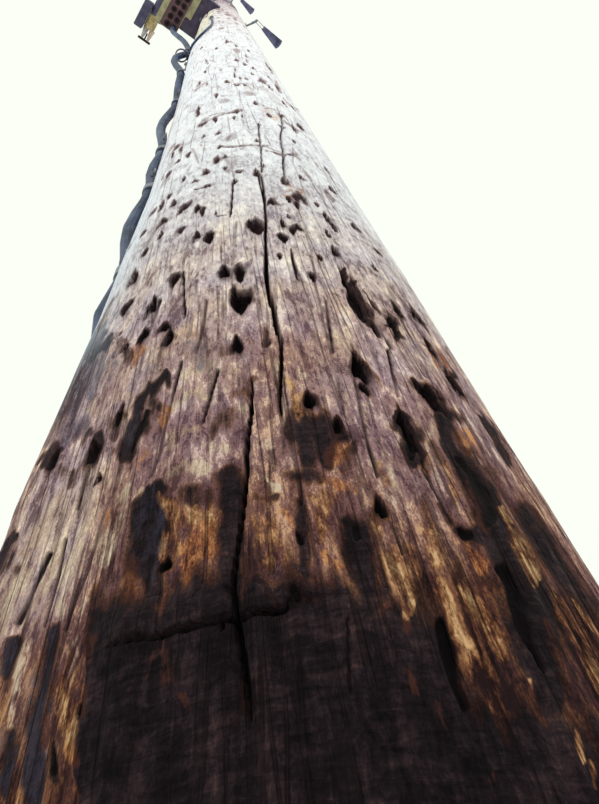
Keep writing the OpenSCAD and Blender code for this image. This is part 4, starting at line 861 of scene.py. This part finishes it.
# Light colour, dark colour and roughness of each coat, and the scale of its clouds where that differs
COATS = {
    "cable_sheath": ((46, 72, 112), (12, 21, 37), 0.5, 90),
    "terminal_shell": ((174, 168, 134), (110, 104, 84), 0.6),
    "bracket_paint": ((84, 74, 98), (46, 40, 56), 0.65),
    "port_plate": ((114, 82, 90), (68, 48, 56), 0.65),
    "rubber": ((50, 33, 40), (24, 16, 20), 0.75),
    "drop_clamp_plastic": ((108, 110, 146), (40, 40, 66), 0.55),
    "closure_plastic": ((94, 90, 120), (50, 46, 68), 0.6),
    "collar_plastic": ((214, 198, 150), (140, 120, 84), 0.65),
    "cone_plastic": ((196, 188, 186), (120, 112, 112), 0.6),
    "small_cone_plastic": ((222, 198, 184), (150, 122, 108), 0.6),
}
WOOD = wood_material()
MATERIALS = {name: plastic_material(name, *look) for name, look in COATS.items()}
MATERIALS["galvanised_steel"] = zinc_material("galvanised_steel", (138, 143, 156), (66, 70, 84), 0.5)
MATERIALS["wood"] = WOOD

slots = {entry["node"]: entry["material_slot"] for entry in frame["record"]["subparts"]}
for node_name, obj in frame["nodes"].items():
    obj.data.materials.clear()
    obj.data.materials.append(MATERIALS[slots[node_name]])

# The wood's skin, in panels that are finest where the camera is closest, and a cap at each end

# How far a panel's edges are tucked in under the next panel
TUCK = 0.0012
SIDE = 66.0
# Name, azimuths, heights in metres, and steps round and up in mm
PANELS = [
    ("wood_front_low", -SIDE, SIDE, 1.552, 1.7, 0.8, 0.9),
    ("wood_front_breast", -SIDE, SIDE, 1.697, 1.8, 0.9, 1.0),
    ("wood_front_middle", -SIDE, SIDE, 1.797, 2.12, 1.05, 1.4),
    ("wood_front_high", -SIDE, SIDE, 2.114, 2.75, 1.4, 2.8),
    ("wood_front_upper", -SIDE, SIDE, 2.74, 4.2, 3.0, 8.0),
    ("wood_back", SIDE - 1.5, 360 - SIDE + 1.5, 1.545, 4.21, 4.0, 8.0),
    ("wood_foot", 0, 360, 0.0, 1.56, 5.0, 8.0),
    ("wood_top", 0, 360, 4.19, POLE_H, 6.0, 26.0),
]


def make_mesh(name, verts, faces, masks, material):
    mesh = bpy.data.meshes.new(name)
    mesh.vertices.add(len(verts))
    mesh.vertices.foreach_set("co", verts.astype(np.float32).ravel())
    mesh.loops.add(faces.size)
    mesh.loops.foreach_set("vertex_index", faces.astype(np.int32).ravel())
    mesh.polygons.add(len(faces))
    mesh.polygons.foreach_set("loop_start", np.arange(0, faces.size, faces.shape[1], dtype=np.int32))
    mesh.polygons.foreach_set("use_smooth", np.ones(len(faces), bool))
    mesh.update(calc_edges=True)
    for key, values in masks.items():
        layer = mesh.attributes.new(key, "FLOAT", "POINT")
        layer.data.foreach_set("value", values.astype(np.float32))
    mesh.materials.append(material)
    obj = bpy.data.objects.new(name, mesh)
    scene.collection.objects.link(obj)
    return obj


def make_skin(name, az, z, r, faces, masks):
    """A piece of the wood's skin, from azimuths, heights and radii of its points."""
    a = np.radians(az)
    verts = np.stack([r * np.sin(a), -r * np.cos(a), z], 1)
    obj = make_mesh(name, verts, faces, masks, WOOD)
    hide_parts("pole_shaft")
    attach(obj, "root")


def far_side(az, z):
    """Where the shader's own spike marks show: not where the larger, modelled holes are."""
    front = smooth(52, 44, np.abs(az)) * smooth(3.4, 2.9, z)
    return (1 - front * (1 - 0.75 * smooth(2.1, 2.4, z))) * smooth(1.1, 1.9, z)


def skin_panel(name, az0, az1, z0, z1, step_az_mm, step_z_mm):
    closed, roof = az1 - az0 == 360, z1 == POLE_H
    r_mid = pole_r((z0 + z1) / 2)
    cols = round(math.radians(az1 - az0) * r_mid * 1000 / step_az_mm)
    rows = round((z1 - z0) * 1000 / step_z_mm)
    az = az0 + (az1 - az0) * np.arange(cols if closed else cols + 1) / cols
    az, z = np.meshgrid(az, z0 + (z1 - z0) * np.arange(rows + 1) / rows)
    tuck = np.zeros(az.shape)
    tuck[0] = TUCK
    if roof:
        z = z + (roof_z(az, TOP_R) - POLE_H) * ((z - z0) / (z1 - z0)) ** 6
    else:
        tuck[-1] = TUCK
    if not closed:
        tuck[:, 0] = tuck[:, -1] = TUCK
    across = az.shape[1]
    here = np.arange(cols)
    after = (here + 1) % across
    base = np.arange(rows)[:, None] * across
    faces = np.stack([base + here, base + after, base + across + after, base + across + here], -1)
    az, z = az.ravel(), z.ravel()
    wood = Wood(az, z)
    wood.mask["far"] = far_side(az, z)
    make_skin(name, az, z, pole_r(z) + wood.out - tuck.ravel(), faces.reshape(-1, 4), wood.mask)


def cap(name, r_outer, height_of, back_level, up):
    """A round end of the pole, as rings of points about a middle one."""
    rings, cols = 14, 96
    rs, azs = r_outer * np.arange(1, rings + 1) / rings, np.arange(cols) * 360 / cols
    r, az = (np.append(0, grid) for grid in np.meshgrid(rs, azs, indexing="ij"))
    here = np.arange(cols)
    after = (here + 1) % cols
    fan = np.stack([here * 0, here + 1, after + 1], 1)
    base = 1 + cols * np.arange(rings - 1)[:, None]
    a, b, c, d = base + here, base + cols + here, base + cols + after, base + after
    faces = np.concatenate([fan, np.stack([a, b, c, a, c, d], -1).reshape(-1, 3)])
    values = {"behind": 1.0, "back_level": back_level}
    masks = {key: np.full(r.size, values.get(key, 0.0)) for key in MASKS}
    make_skin(name, az, height_of(az, r), r, faces if up else faces[:, ::-1], masks)


for panel in PANELS:
    skin_panel(*panel)
cap("wood_roof", TOP_R + 0.0005, roof_z, 0.45, True)
cap("wood_butt", GROUND_R - 0.001, lambda az, r: 0 * r, 0.0, False)

# Floor, light and surroundings

FLOOR_HALF, FLOOR_DROP = 12.0, 0.0005


def area_light(name, place, target, size, power, colour):
    data = bpy.data.lights.new(name, "AREA")
    data.shape = "DISK"
    data.size = size
    data.energy = power
    data.color = colour
    light = bpy.data.objects.new(name, data)
    light.location = place
    direction = Vector(target) - Vector(place)
    light.rotation_euler = direction.to_track_quat("-Z", "Y").to_euler()
    scene.collection.objects.link(light)


def make_stage():
    corners = np.array([(-1, -1), (1, -1), (1, 1), (-1, 1)]) * FLOOR_HALF
    verts = np.column_stack([corners, np.full(4, -FLOOR_DROP)])
    m = Nodes("pale_floor")
    speck = m.noise(3.0, 1.0, 4, 0.5)
    m.done(m.ramp(speck, shades((0.3, 222, 222, 218), (0.7, 234, 234, 230))), 0.8, {})
    make_mesh("floor", verts, np.array([[0, 1, 2, 3]]), {}, m.mat)
    world = bpy.data.worlds.new("pale_surroundings")
    world.use_nodes = True
    world.node_tree.nodes["Background"].inputs[0].default_value = rgb(251, 255, 246)
    scene.world = world
    scene.view_settings.view_transform = "Standard"
    area_light("key_light", (-2.4, -4.2, 5.8), (0, 0, 3.2), 3.0, 60, (0.97, 0.98, 1.0))
    area_light("side_light", (3.8, -2.6, 5.0), (0, 0, 3.4), 2.4, 35, (1.0, 0.99, 0.96))


make_stage()
